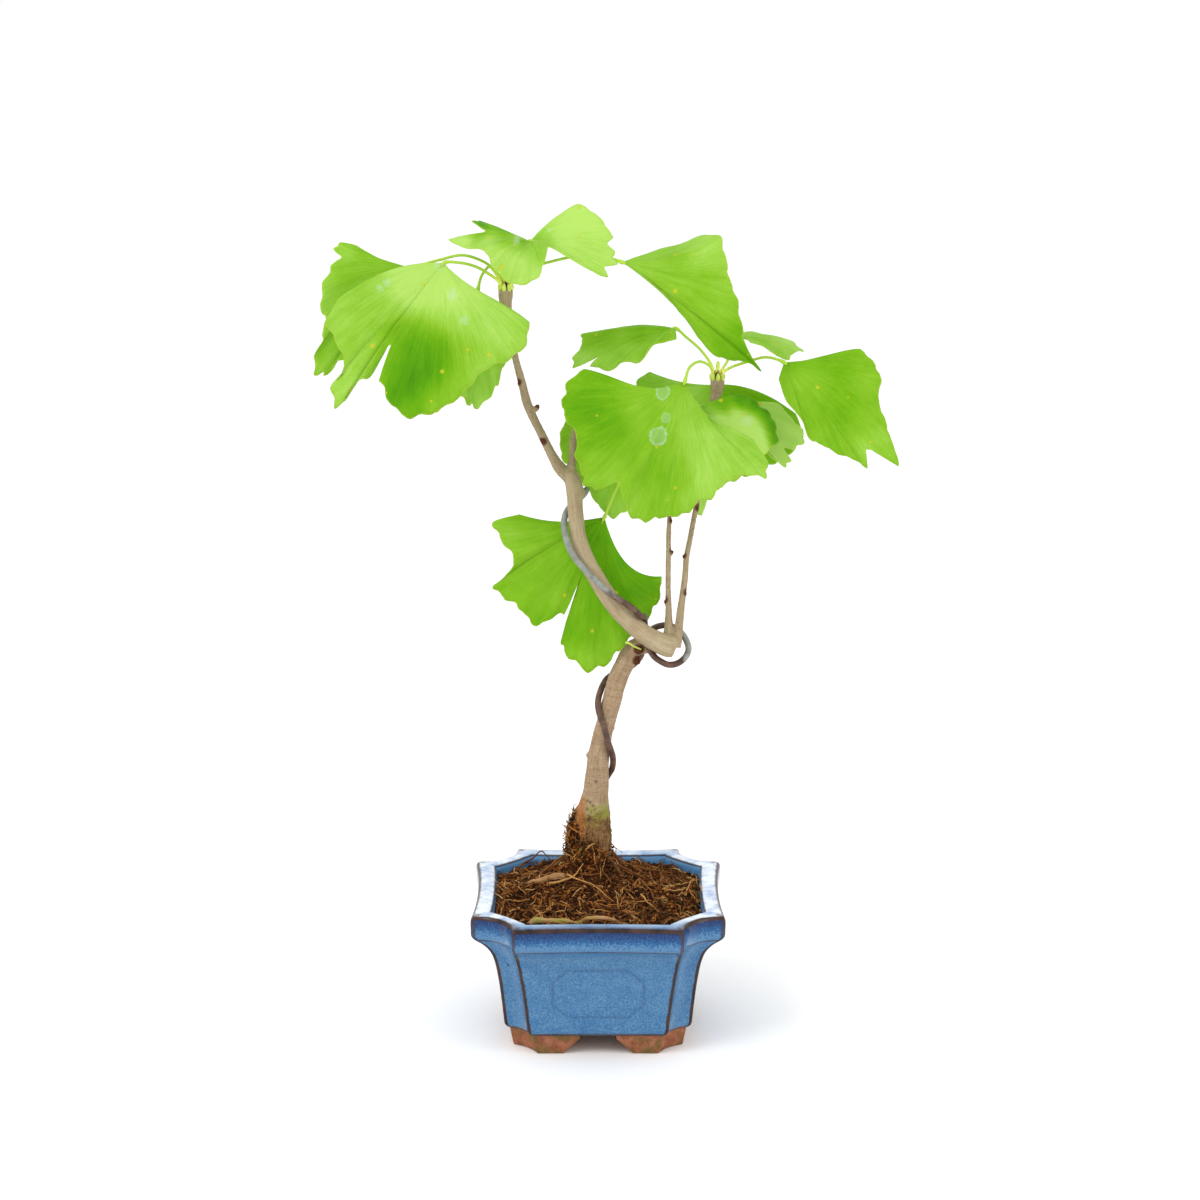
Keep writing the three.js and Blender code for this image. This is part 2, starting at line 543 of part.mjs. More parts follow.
function makeTree() {
  const parts = [limb(TRUNK, SIDES.trunk, TRUNK_STEPS), limb(BRANCH, SIDES.branch, BRANCH_STEPS)];
  for (const line of Object.values(TWIGS)) {
    const [x, y, z] = line.at(-1);
    parts.push(thinLimb(line, SIDES.twig));
    parts.push(thinLimb([
      [x, y, z - SINK, BUD_RADIUS], [x, y, z + BUD_HEIGHT / 2, BUD_RADIUS * 0.8],
      [x, y, z + BUD_HEIGHT, BUD_RADIUS * 0.2],
    ], SIDES.twig));
  }
  for (const [x, y, z, radius] of SIDE_BUDS) {
    parts.push(new THREE.IcosahedronGeometry(radius).translate(x, y, z));
  }
  for (const root of ROOTS) parts.push(thinLimb(rootLine(root), SIDES.root));
  return joined(parts);
}

// Points along a limb, each with the limb's radius there.
function sampled(line) {
  const curve = curveOf(line);
  return Array.from({ length: BARK_SAMPLES + 1 }, (_, i) => {
    const along = i / BARK_SAMPLES;
    return { centre: curve.getPoint(along), radius: radiusAt(line, along) };
  });
}

// The wire's route, with every point that lies too near a limb moved straight out of it.
function wireLine() {
  const bark = [TRUNK, BRANCH, ...Object.values(TWIGS)].flatMap(sampled);
  const route = curveOf(WIRE_ROUTE).getSpacedPoints(WIRE_STEPS);
  for (let round = 0; round < 4; round++) route.forEach((point) => pushClear(point, bark));
  return route.map((point) => point.toArray());
}

function pushClear(point, bark) {
  for (const { centre, radius } of bark) {
    const wanted = radius + WIRE_RADIUS + GAP + 2 * EASE;
    const away = point.clone().sub(centre);
    if (away.length() < wanted) point.copy(centre).add(away.setLength(wanted));
  }
}

function makeWire() {
  return solidOf(tube(wireLine(), WIRE_RADIUS, SIDES.wire, WIRE_STEPS));
}

// ---------------------------------------------------------------- leaves

function vec([x, y, z]) {
  return new THREE.Vector3(x, y, z);
}

// Where the margin lies at a place along the fan, counted in tips from the first.
function marginPoint(leaf, tips, place) {
  const join = vec(leaf.join);
  const wave = 0.5 - 0.5 * Math.cos(2 * Math.PI * place);
  const crest = tips.getPoint(place / (leaf.tips.length - 1));
  const point = crest.sub(join).multiplyScalar(1 - leaf.depth * wave).add(join);
  for (const [at, apex] of leaf.splits) {
    const nearness = 1 - 2 * Math.abs(place - at);
    if (nearness > 0) point.lerp(vec(apex), nearness);
  }
  return point;
}

function archAt(leaf, share) {
  const place = share * (leaf.arch.length - 1);
  const before = Math.min(Math.floor(place), leaf.arch.length - 2);
  return vec(leaf.arch[before]).lerp(vec(leaf.arch[before + 1]), place - before);
}

function makeBlade(leaf) {
  const tips = new THREE.CatmullRomCurve3(leaf.tips.map(vec), false, 'centripetal');
  const join = vec(leaf.join);
  const last = leaf.tips.length - 1;
  const rows = Array.from({ length: 2 * last + 1 }, (_, rib) => {
    const margin = marginPoint(leaf, tips, rib / 2);
    const arch = archAt(leaf, rib / 2 / last);
    return RIB_RINGS.map((r) => join.clone().lerp(margin, r).addScaledVector(arch, 4 * r * (1 - r)));
  });
  const middle = [join, ...rows.flat()];
  const rings = RIB_RINGS.length;
  const faces = [];
  for (let rib = 0; rib + 1 < rows.length; rib++) {
    const a = 1 + rib * rings;
    const b = a + rings;
    faces.push([0, a, b]);
    for (let ring = 0; ring + 1 < rings; ring++) {
      faces.push([a + ring, a + ring + 1, b + ring + 1], [a + ring, b + ring + 1, b + ring]);
    }
  }
  return thickened(middle, faces, BLADE_THICKNESS);
}

// A sheet of triangles given a thickness: two faces split alike, and a wall along the free edge.
function thickened(points, faces, thickness) {
  const normals = points.map(() => new THREE.Vector3());
  for (const [a, b, c] of faces) {
    const normal = points[b].clone().sub(points[a]).cross(points[c].clone().sub(points[a]));
    for (const corner of [a, b, c]) normals[corner].add(normal);
  }
  normals.forEach((normal) => normal.setLength(thickness / 2));
  const count = points.length;
  const both = [
    ...points.map((p, i) => p.clone().add(normals[i])),
    ...points.map((p, i) => p.clone().sub(normals[i])),
  ];
  const used = new Set(faces.flatMap(([a, b, c]) => [`${a},${b}`, `${b},${c}`, `${c},${a}`]));
  const index = [];
  for (const [a, b, c] of faces) {
    index.push(a, b, c, a + count, c + count, b + count);
    for (const [p, q] of [[a, b], [b, c], [c, a]]) {
      if (!used.has(`${q},${p}`)) index.push(q, p, p + count, q, p + count, q + count);
    }
  }
  return geometryOf(both, index);
}

// A stalk stands beside the bud, follows its route and runs a little way into the blade.
function makeStalk(leaf) {
  const turn = THREE.MathUtils.degToRad(leaf.turn);
  const aside = new THREE.Vector3(Math.cos(turn), Math.sin(turn), 0);
  const foot = spurTip(leaf.spur).addScaledVector(aside, STALK_RING);
  const join = vec(leaf.join);
  const inBlade = centroid(leaf.tips.map(vec)).sub(join).setLength(STALK_RUN).add(join);
  const line = [
    [foot.x, foot.y, foot.z + GAP], [foot.x, foot.y, foot.z + 2.5], ...leaf.stalk, leaf.join, inBlade.toArray(),
  ];
  return thinLimb(line.map(([x, y, z]) => [x, y, z, STALK_RADIUS]), SIDES.stalk);
}

function makeLeaf(leaf) {
  return solidOf(makeBlade(leaf)).add(solidOf(makeStalk(leaf)));
}

// ---------------------------------------------------------------- the whole

const plant = new THREE.Group();
plant.add(
  meshOf('pot', makePot(), 'glaze'),
  meshOf('drain_screen', makeScreen(), 'plastic'),
  meshOf('soil', makeSoil(), 'soil'),
  meshOf('tree', makeTree(), 'bark'),
  meshOf('wire', makeWire(), 'wire'),
);
for (const leaf of LEAVES) plant.add(meshOf(leaf.name, makeLeaf(leaf), 'leaf'));

const extent = new THREE.Box3().setFromObject(plant);
const middle = extent.getCenter(new THREE.Vector3());
plant.position.set(-middle.x, -middle.y, -extent.min.z);

const group = new THREE.Group();
group.add(plant);
export default group;
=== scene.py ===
# %% [markdown]
# # A young ginkgo, trained as a bonsai, in a square blue pot
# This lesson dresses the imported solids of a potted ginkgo: a glazed pot, soil full of rootlets, a wired
# trunk and fourteen fan-shaped leaves. The solids give every place and size. Here each of them gets the
# form and the finish that a hand would feel: rounded glaze, cracked bark, veined leaves.

# %% Load the frame
import math

import bpy
import numpy as np
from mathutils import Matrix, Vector, noise


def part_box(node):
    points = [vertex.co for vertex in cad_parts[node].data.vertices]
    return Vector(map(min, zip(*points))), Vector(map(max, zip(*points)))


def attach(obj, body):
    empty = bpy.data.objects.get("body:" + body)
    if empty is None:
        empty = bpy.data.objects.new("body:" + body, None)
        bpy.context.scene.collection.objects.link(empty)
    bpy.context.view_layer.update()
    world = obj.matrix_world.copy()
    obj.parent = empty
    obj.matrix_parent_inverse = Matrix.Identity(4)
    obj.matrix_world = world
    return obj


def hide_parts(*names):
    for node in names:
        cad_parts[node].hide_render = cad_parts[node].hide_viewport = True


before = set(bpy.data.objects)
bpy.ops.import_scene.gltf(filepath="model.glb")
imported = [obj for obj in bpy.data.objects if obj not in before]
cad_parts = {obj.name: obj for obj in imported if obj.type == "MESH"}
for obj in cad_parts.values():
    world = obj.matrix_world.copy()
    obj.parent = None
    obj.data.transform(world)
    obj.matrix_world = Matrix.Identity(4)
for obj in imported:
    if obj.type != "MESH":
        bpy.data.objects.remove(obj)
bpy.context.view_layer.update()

# %% [markdown]
# ## Millimetres round the pot
# A pot maker thinks in millimetres from the middle of the pot, while Blender thinks in metres. All sizes
# below are therefore millimetres from the pot's centre line, and one function puts them in place.

# %% From millimetres to the frame
MM = 0.001
pot_low, pot_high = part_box("pot")
POT_X = (pot_low.x + pot_high.x) / 2


def in_place(points):
    """Millimetres from the pot's centre line as metres in the frame."""
    placed = np.asarray(points, float).reshape(-1, 3) * MM
    placed[:, 0] += POT_X
    return placed


print("pot centre in the frame:", round(POT_X, 5))

# %% [markdown]
# ## Smooth lines
# Twigs, roots, wire and leaf margins all follow a few measured points. A centripetal Catmull-Rom curve
# passes through every point without loops, so it suits lines that were measured rather than designed. A
# fourth number in each point, the radius, is carried along with the place.

# %% Curves through points


def spline(points, at):
    """Points of a centripetal Catmull-Rom curve. at counts the given points, with 0 for the first."""
    p = np.asarray(points, float)
    p = np.vstack([2 * p[0] - p[1], p, 2 * p[-1] - p[-2]])
    at = np.clip(np.asarray(at, float), 0, len(p) - 3)
    first = np.minimum(at.astype(int), len(p) - 4)
    w = (at - first)[:, None]
    p0, p1, p2, p3 = (p[first + k] for k in range(4))
    d0, d1, d2 = knot_gap(p0, p1), knot_gap(p1, p2), knot_gap(p2, p3)
    t1 = ((p1 - p0) / d0 - (p2 - p0) / (d0 + d1) + (p2 - p1) / d1) * d1
    t2 = ((p2 - p1) / d1 - (p3 - p1) / (d1 + d2) + (p3 - p2) / d2) * d1
    return p1 + t1 * w + (3 * (p2 - p1) - 2 * t1 - t2) * w**2 + (2 * (p1 - p2) + t1 + t2) * w**3


def knot_gap(a, b):
    return np.maximum(((a - b)[:, :3] ** 2).sum(1), 1e-9)[:, None] ** 0.25


def walked(line):
    """How far along a line each of its points is."""
    steps = np.linalg.norm(np.diff(line[:, :3], axis=0), axis=1)
    return np.concatenate([[0.0], np.cumsum(steps)])


def even_line(points, spacing=1.0, count=None):
    """The curve through the points, as points an even distance apart."""
    fine = spline(points, np.linspace(0, len(points) - 1, 40 * len(points)))
    far = walked(fine)
    wanted = np.linspace(0, far[-1], count or int(far[-1] / spacing) + 2)
    return np.stack([np.interp(wanted, far, column) for column in fine.T], 1)


print("a test line:", even_line([(0, 0, 0), (1, 1, 0), (2, 0, 0)], count=3).round(2).tolist())

# %% [markdown]
# ## Meshes from grids
# Most pieces here are grids bent into shape: a pot wall, a tube, a leaf. One helper joins the points of a
# grid to quads, one turns a line into a round limb, and one makes the Blender object. Its origin stays at
# zero, with its place in the mesh, so that patterns on Object coordinates stay where they are.

# %% Mesh helpers


def grid_faces(rows, columns, closed=True):
    """Quads between neighbouring rows of points; closed joins each row's last point to its first."""
    row, column = np.meshgrid(np.arange(rows - 1), np.arange(columns - (not closed)), indexing="ij")
    a = row * columns + column
    b = row * columns + (column + 1) % columns
    return np.stack([a, b, b + columns, a + columns], -1).reshape(-1, 4).tolist()


def lofted(rings):
    """Points and faces of a closed body through rings of equally many points, with flat ends."""
    size, count = len(rings[0]), len(rings) * len(rings[0])
    ends = [list(range(size))[::-1], list(range(count - size, count))]
    return np.concatenate(rings), grid_faces(len(rings), size) + ends


def unit(vectors):
    return vectors / np.maximum(np.linalg.norm(vectors, axis=-1, keepdims=True), 1e-12)


def frames_along(line):
    """Tangents and two crosswise directions, carried along the line without twist."""
    tangents = unit(np.gradient(line[:, :3], axis=0))
    side = np.cross(tangents[0], (0.0, 0.0, 1.0) if abs(tangents[0][2]) < 0.9 else (1.0, 0.0, 0.0))
    sides = []
    for tangent in tangents:
        side = unit(side - tangent * (side @ tangent))
        sides.append(side)
    sides = np.array(sides)
    return tangents, sides, np.cross(tangents, sides)


def tube(line, sides):
    """Points and faces of a round, closed limb along rows of x, y, z, radius."""
    line = np.asarray(line, float)
    _, u, v = frames_along(line)
    angle = np.linspace(0, 2 * math.pi, sides, endpoint=False)[None, :, None]
    round_line = np.cos(angle) * u[:, None] + np.sin(angle) * v[:, None]
    return lofted(line[:, None, :3] + line[:, None, 3:4] * round_line)


def together(shapes):
    """Several (points, faces) as one."""
    points, faces, first = [], [], 0
    for some_points, some_faces in shapes:
        points.append(np.asarray(some_points, float))
        faces += [[first + i for i in face] for face in some_faces]
        first += len(some_points)
    return np.concatenate(points), faces


def in_scene(name, data):
    """A new object with this data, linked to the scene."""
    made = bpy.data.objects.new(name, data)
    bpy.context.scene.collection.objects.link(made)
    return made


def make_object(name, shape, materials=()):
    points, faces = shape
    mesh = bpy.data.meshes.new(name)
    mesh.from_pydata(in_place(points).tolist(), [], faces)
    for material in materials:
        mesh.materials.append(material)
    mesh.polygons.foreach_set("use_smooth", [True] * len(mesh.polygons))
    mesh.update()
    return in_scene(name, mesh)


def set_attribute(made, name, values, kind="FLOAT"):
    """Keeps a number or a vector for each point of the mesh, for materials and scattering to read."""
    data = made.data.attributes.new(name, kind, "POINT").data
    key = "vector" if kind == "FLOAT_VECTOR" else "value"
    data.foreach_set(key, np.asarray(values, np.float32).ravel())


def evaluated_mesh(made):
    """The mesh that an object's modifiers make, as a plain mesh of its own."""
    graph = bpy.context.evaluated_depsgraph_get()
    return bpy.data.meshes.new_from_object(made.evaluated_get(graph), depsgraph=graph)


def mesh_vectors(mesh, name):
    values = np.zeros(len(mesh.vertices) * 3)
    mesh.vertices.foreach_get(name, values)
    return values.reshape(-1, 3)


def mesh_points(mesh):
    """A mesh's points in millimetres from the pot's centre line."""
    points = mesh_vectors(mesh, "co")
    points[:, 0] -= POT_X
    return points / MM


def show(piece, stands_for=()):
    """Fixes a finished piece to the plant's one body, and hides the solids that it stands for."""
    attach(piece, "root")
    if stands_for:
        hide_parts(*stands_for)
    print(f"{piece.name}: {len(piece.data.polygons)} faces")


def smoothstep(low, high, values):
    t = np.clip((np.asarray(values, float) - low) / (high - low), 0, 1)
    return t * t * (3 - 2 * t)


def noise_at(points, scale, shift=0.0):
    """Smooth random numbers from -1 to 1 at points in millimetres; scale is the size of the pattern."""
    return np.array([noise.noise(Vector(p) / scale + Vector((shift, 0, 0))) for p in points])


print("helpers ready")

# %% [markdown]
# ## A short way to write node trees
# Shader trees and Geometry Nodes trees are both nodes with sockets. A small class that adds a node, sets
# its options and feeds its inputs keeps each material readable as a recipe instead of pages of links.

# %% The node helper


class Graph:
    """A node tree with short calls for the nodes that this lesson uses most."""

    def __init__(self, tree):
        self.tree = tree

    def add(self, kind, inputs=None, **settings):
        node = self.tree.nodes.new(kind)
        for name, value in settings.items():
            setattr(node, name, value)
        for name, value in (inputs or {}).items():
            self.feed(node.inputs[name], value)
        return node

    def feed(self, socket, value):
        if isinstance(value, bpy.types.NodeSocket):
            self.tree.links.new(value, socket)
        else:
            socket.default_value = value

    def math(self, operation, *values):
        return self.add("ShaderNodeMath", dict(enumerate(values)), operation=operation).outputs[0]

    def times(self, a, b):
        return self.math("MULTIPLY", a, b)

    def plus(self, a, b):
        return self.math("ADD", a, b)

    def minus(self, a, b):
        return self.math("SUBTRACT", a, b)

    def apart(self, a, b):
        return self.math("ABSOLUTE", self.minus(a, b))

    def scaled(self, value, by, shift):
        """value times by, plus shift."""
        return self.math("MULTIPLY_ADD", value, by, shift)

    def weighted(self, *terms):
        """The sum of values, each given with its weight."""
        value, weight = terms[-1]
        total = self.times(value, weight)
        for value, weight in terms[-2::-1]:
            total = self.scaled(value, weight, total)
        return total

    def vector_math(self, operation, *values):
        node = self.add("ShaderNodeVectorMath", dict(enumerate(values)), operation=operation)
        return node.outputs["Value" if operation == "DISTANCE" else "Vector"]

    def stretched(self, vector, by):
        return self.add("ShaderNodeVectorMath", {0: vector, "Scale": by}, operation="SCALE").outputs[0]

    def mix(self, share, a, b):
        node = self.add("ShaderNodeMix", data_type="RGBA")
        for socket, value in ((0, share), (6, a), (7, b)):
            self.feed(node.inputs[socket], value)
        return node.outputs[2]

    def tinted(self, base, mask, strength, colour):
        """base, drawn towards an sRGB colour wherever the mask is, and at most by strength."""
        return self.mix(self.times(mask, strength), base, rgb(*colour))

    def band(self, value, low, high, start=0.0, end=1.0):
        """value, eased from start to end as it goes from low to high."""
        inputs = {"Value": value, "From Min": low, "From Max": high, "To Min": start, "To Max": end}
        return self.add("ShaderNodeMapRange", inputs, interpolation_type="SMOOTHSTEP").outputs[0]

    def noise(self, vector, scale, detail=3.0, rough=0.55):
        inputs = {"Vector": vector, "Scale": scale, "Detail": detail, "Roughness": rough}
        return self.add("ShaderNodeTexNoise", inputs).outputs["Fac"]

    def ramp(self, value, stops):
        """A colour ramp; stops are (place, sRGB colour in 0 to 255)."""
        node = self.add("ShaderNodeValToRGB", {"Fac": value})
        ramp = node.color_ramp
        while len(ramp.elements) < len(stops):
            ramp.elements.new(0.5)
        for element, (place, colour) in zip(ramp.elements, stops):
            element.position = place
            element.color = rgb(*colour)
        return node.outputs["Color"]

    def attribute(self, name, output="Fac"):
        return self.add("ShaderNodeAttribute", attribute_name=name).outputs[output]

    def place(self):
        return self.add("ShaderNodeTexCoord").outputs["Object"]

    def axis(self, vector, name):
        return self.add("ShaderNodeSeparateXYZ", {0: vector}).outputs[name]

    def mask(self, group, **inputs):
        """The mask that one of the shared groups makes of these inputs."""
        return self.add("ShaderNodeGroup", inputs, node_tree=group).outputs["Mask"]


def rgb(red, green, blue):
    """An sRGB colour in 0 to 255 as Blender's linear colour."""
    shares = [level / 255 for level in (red, green, blue)]
    return (*(c / 12.92 if c <= 0.04045 else ((c + 0.055) / 1.055) ** 2.4 for c in shares), 1.0)


def new_group(name, inputs, outputs, kind="ShaderNodeTree"):
    """A node group with named sockets: its graph, what it is given and what it puts out."""
    tree = bpy.data.node_groups.new(name, kind)
    for direction, sockets in (("INPUT", inputs), ("OUTPUT", outputs)):
        for label, (kind_of, default) in sockets.items():
            socket = tree.interface.new_socket(label, in_out=direction, socket_type="NodeSocket" + kind_of)
            if default is not None:
                socket.default_value = default
    graph = Graph(tree)
    return graph, graph.add("NodeGroupInput").outputs, graph.add("NodeGroupOutput").inputs


def new_material(name):
    material = bpy.data.materials.new(name)
    material.use_nodes = True
    material.node_tree.nodes.clear()
    return material, Graph(material.node_tree)


def principled(graph, colour, roughness, height=None, depth=0.0, **plain):
    """A Principled surface. What is the same all over, such as Metallic, is set on its own socket."""
    shader = graph.add("ShaderNodeBsdfPrincipled", {"Base Color": colour, "Roughness": roughness, **plain})
    if height is not None:
        bump = graph.add("ShaderNodeBump", {"Height": height, "Distance": depth})
        graph.feed(shader.inputs["Normal"], bump.outputs[0])
    return shader.outputs[0]


def output(graph, shader):
    graph.add("ShaderNodeOutputMaterial", {"Surface": shader})


# Earth, bark and raw clay hardly reflect the white room.
DULL = {"Specular IOR Level": 0.12}


print("node helper ready")

# %% [markdown]
# ## Effects that several finishes share
# Spots appear on the leaves, the bark and the glaze, and moss grows on the soil, the bark and the pot's
# feet. Each is a node group, built once and placed in every material with its own numbers. The groups give
# masks only, and the material decides what a mask does to colour, roughness or height.

# %% Spots and moss
MASK = {"Mask": ("Float", None)}


def spots_group():
    """Round spots, at most one in each cell of a lattice, in a given share of the cells."""
    graph, given, result = new_group("Scattered spots", {
        "Vector": ("Vector", None), "Spacing": ("Float", 0.008), "Size": ("Float", 0.08),
        "Share": ("Float", 0.3),
    }, MASK)
    scaled = graph.vector_math("DIVIDE", given["Vector"], given["Spacing"])
    cells = graph.add("ShaderNodeTexVoronoi", {"Vector": scaled, "Scale": 1.0}).outputs
    chance, size = graph.axis(cells["Color"], "X"), graph.axis(cells["Color"], "Y")
    reach = graph.times(graph.scaled(size, 0.7, 0.6), given["Size"])
    inside = graph.band(graph.math("DIVIDE", cells["Distance"], reach), 0.75, 1.1, 1.0, 0.0)
    kept = graph.math("LESS_THAN", chance, given["Share"])
    graph.feed(result["Mask"], graph.times(inside, kept))
    return graph.tree


def moss_group():
    """A film in ragged patches, wider the larger the amount."""
    inputs = {"Vector": ("Vector", None), "Amount": ("Float", 0.5)}
    graph, given, result = new_group("Moss film", inputs, MASK)
    patches = graph.noise(given["Vector"], 160.0, 4.0, 0.6)
    grains = graph.noise(given["Vector"], 1400.0, 2.0, 0.6)
    grown = graph.scaled(grains, 0.35, patches)
    limit = graph.minus(1.05, graph.times(given["Amount"], 0.6))
    graph.feed(result["Mask"], graph.band(graph.minus(grown, limit), -0.04, 0.12))
    return graph.tree


SPOTS, MOSS = spots_group(), moss_group()
print("shared groups:", [tree.name for tree in bpy.data.node_groups])

# %% [markdown]
# ## A bright, soft studio
# The plant stands on a white sweep in soft light from all round, with one large, slightly stronger window
# of light from the upper left. White surroundings matter for glaze and leaves: they are what both reflect.
# Away from the pot the paper glows faintly, so that it stays white to the horizon. The camera looks down by
# a little under fifteen degrees, from about a metre and a half away.

# %% Camera, floor and light
CAMERA_PLACE = (0.9, -1579.0, 625.0)
CAMERA_PITCH = 14.66
CAMERA_LENS = 104.16
FLOOR_HALF = 4000
AIM = (0, 0, 0.2)

camera_data = bpy.data.cameras.new("studio_camera")
camera_data.lens = CAMERA_LENS
camera_data.sensor_width = 36.0
camera = in_scene("studio_camera", camera_data)
camera.location = in_place([CAMERA_PLACE])[0]
camera.rotation_euler = (math.radians(90 - CAMERA_PITCH), 0, 0)
bpy.context.scene.camera = camera

world = bpy.data.worlds.new("white_room")
world.use_nodes = True
background = world.node_tree.nodes["Background"].inputs
background["Color"].default_value, background["Strength"].default_value = (1, 1, 1, 1), 1.0
bpy.context.scene.world = world
bpy.context.scene.view_settings.view_transform = "Standard"


def area_light(name, place, size, power):
    data = bpy.data.lights.new(name, "AREA")
    data.shape, data.size, data.energy = "DISK", size, power
    lamp = in_scene(name, data)
    lamp.location = place
    lamp.rotation_euler = (Vector(AIM) - Vector(place)).to_track_quat("-Z", "Y").to_euler()


area_light("window", (-1.1, -1.0, 1.5), 0.9, 14.0)
area_light("reflector", (1.3, -0.7, 0.7), 0.8, 5.0)

paper, graph = new_material("white_paper")
flat_place = graph.vector_math("MULTIPLY", graph.place(), (1, 1, 0))
from_pot = graph.vector_math("DISTANCE", flat_place, tuple(in_place([(0, 0, 0)])[0]))
# Painted light: the paper glows only away from the pot, so that the floor under and beside the pot stays in
# deeper shade.
glow = graph.ramp(graph.band(from_pot, 0.07, 0.14), [(0.0, (0, 0, 0)), (1.0, (255, 255, 255))])
output(graph, principled(
    graph, (0.98, 0.98, 0.98, 1), 0.9, **{"Emission Color": glow, "Emission Strength": 0.06},
))
floor_corners = FLOOR_HALF * np.array([(-1, -1, 0), (1, -1, 0), (1, 1, 0), (-1, 1, 0)])
floor = make_object("white_floor", (floor_corners, [[0, 1, 2, 3]]), [paper])
print("camera at", [round(c, 3) for c in camera.location])

# %% [markdown]
# ## The pot's form
# The pot is slip-cast: a square whose corners are hollowed by a quarter round, flaring to a heavy rim. One
# closed grid follows the profile up the outside, over the rim, down the inside and out through the drain
# hole. Each corner line is rounded by a short curve, because glaze never lies on a sharp edge. Each side
# carries a shallow eight-sided panel, marked by a sunk line.

# %% Pot profile
# A level is a half width, a height, how far the panels bow in, the half length of the flat panels, and how
# hollow the corners are: 1 for a quarter round, 0 for a straight cut.
OUTSIDE = [
    (42.6, 10, 0, 31.6, 0.6), (44.2, 11.6, 0, 32.9, 0.6), (45.0, 17, 0, 33.8, 0.7),
    (45.7, 24, 0, 34.6, 0.8), (47.0, 35, 0.2, 36.0, 0.9), (49.2, 46.5, 0.4, 37.8, 1),
    (51.2, 51, 0.8, 38.8, 1), (54.6, 54.6, 1.2, 39.5, 1), (58.4, 57.0, 1.8, 39.9, 1),
    (59.8, 58.8, 2.2, 40.2, 1), (60.0, 62, 2.2, 40.2, 1), (60.0, 66.6, 2.2, 40.2, 1),
    (59.3, 68.4, 2.2, 39.8, 1), (57.8, 69, 2.2, 39.0, 1),
]
INSIDE = [
    (54.0, 69, 1.6, 36.0, 0.5), (51.6, 68.9, 1.1, 34.4, 0.2), (50.2, 68.0, 1, 33.4, 0.1),
    (49.6, 66, 1, 33.0, 0.1), (49.1, 63, 0.9, 32.8, 0.1), (48.4, 56, 0.7, 32.6, 0.1),
    (43.6, 46, 0.3, 31.2, 0.4), (40.4, 30, 0, 29.0, 1), (36.6, 18.5, 0, 26.9, 1), (33.0, 16, 0, 24.0, 1),
]
NOTCH_INSET = 1.0
CORNER_ROUND = 1.1
NOTCH_POINTS = 22
CORNER_POINTS = 4
DRAIN_RADIUS = 8.0
FLOOR_TOP = 16.0
POT_FOOT = 10.0
FINE_ROWS = (18.0, 47.0)
FINE_STEP, COARSE_STEP = 0.62, 1.3
QUARTER_TURNS = [np.array([(c, s), (-s, c)]) for c, s in ((1, 0), (0, 1), (-1, 0), (0, -1))]


def pot_columns():
    """Places across one flat panel, from 1 to -1, close together where the sunk line runs."""
    fine = np.arange(-0.68, 0.681, 0.0175)
    coarse = np.linspace(0.7, 1, 8)
    return np.concatenate([coarse[::-1], fine[::-1], -coarse])


def rounded(before, corner, after):
    """Points of a short curve that rounds a corner."""
    t = (np.arange(CORNER_POINTS) + 0.5)[:, None] / CORNER_POINTS
    return (1 - t) ** 2 * before + 2 * t * (1 - t) * np.array(corner) + t**2 * after


def notch_curve(half, panel, hollow, count, kept_off=0.0):
    """The hollow of a corner, from the corner line beside one panel to the line beside the next."""
    centre = half - NOTCH_INSET
    radius = math.hypot(NOTCH_INSET, centre - panel)
    start = math.atan2(panel - centre, NOTCH_INSET)
    end = math.atan2(NOTCH_INSET, panel - centre) - 2 * math.pi
    trim = kept_off / radius
    arc = np.linspace(start - trim, end + trim, count)
    notch = centre + radius * np.stack([np.cos(arc), np.sin(arc)], 1)
    return notch * hollow + np.linspace(notch[0], notch[-1], count) * (1 - hollow)


def pot_ring(level):
    """The plan of the pot at one level, one quarter after another."""
    half, z, bow, panel, hollow = level
    notch = notch_curve(half, panel, hollow, NOTCH_POINTS, CORNER_ROUND)
    across = pot_columns() * (1 - CORNER_ROUND / panel)
    flat = np.stack([panel * across, half - bow * (1 - across**2)], 1)
    last_flat = np.array([flat[-1][1], -flat[-1][0]])
    quarter = np.concatenate([
        rounded(last_flat, (half, panel), notch[0]), notch, rounded(notch[-1], (panel, half), flat[0]), flat,
    ])
    ring = np.concatenate([quarter @ turn for turn in QUARTER_TURNS])
    return np.column_stack([ring, np.full(len(ring), z)])


def corner_nearness():
    """1 on a corner line and 0 on the flats and in the hollows, for each column of the pot."""
    hump = np.sin(np.linspace(0.9, math.pi - 0.9, CORNER_POINTS))
    notch, flat = np.zeros(NOTCH_POINTS), np.zeros(len(pot_columns()))
    notch[[0, 1, -2, -1]], flat[[0, -1]] = (0.95, 0.3, 0.3, 0.95), 0.8
    return np.tile(np.concatenate([hump, notch, hump, flat]), 4)


def pot_rows(levels, outside):
    """Levels along a profile, closer together where the sunk line crosses them."""
    spacing = 0.1
    line = even_line(levels, spacing)
    rows, since = [line[0]], 0.0
    for level in line[1:]:
        since += spacing
        fine = outside and FINE_ROWS[0] < level[1] < FINE_ROWS[1]
        if since >= (FINE_STEP if fine else COARSE_STEP):
            rows.append(level)
            since = 0.0
    return rows + [line[-1]]


outside_rows, inside_rows = pot_rows(OUTSIDE, True), pot_rows(INSIDE, False)
print("pot rows:", len(outside_rows), "and", len(inside_rows), "columns:", len(corner_nearness()))

# %% The sunk line
LINE_HALF_WIDTH, LINE_HALF_HEIGHT, LINE_MIDDLE = 21.4, 12.4, 32.5
LINE_SLANT = (0.66, 0.751, 18.55)
LINE_DEPTH, LINE_SOFTNESS, PANEL_RISE = 0.5, 0.75, 0.2
SIDE_FROM, SIDE_HALF = 42.0, 30.0


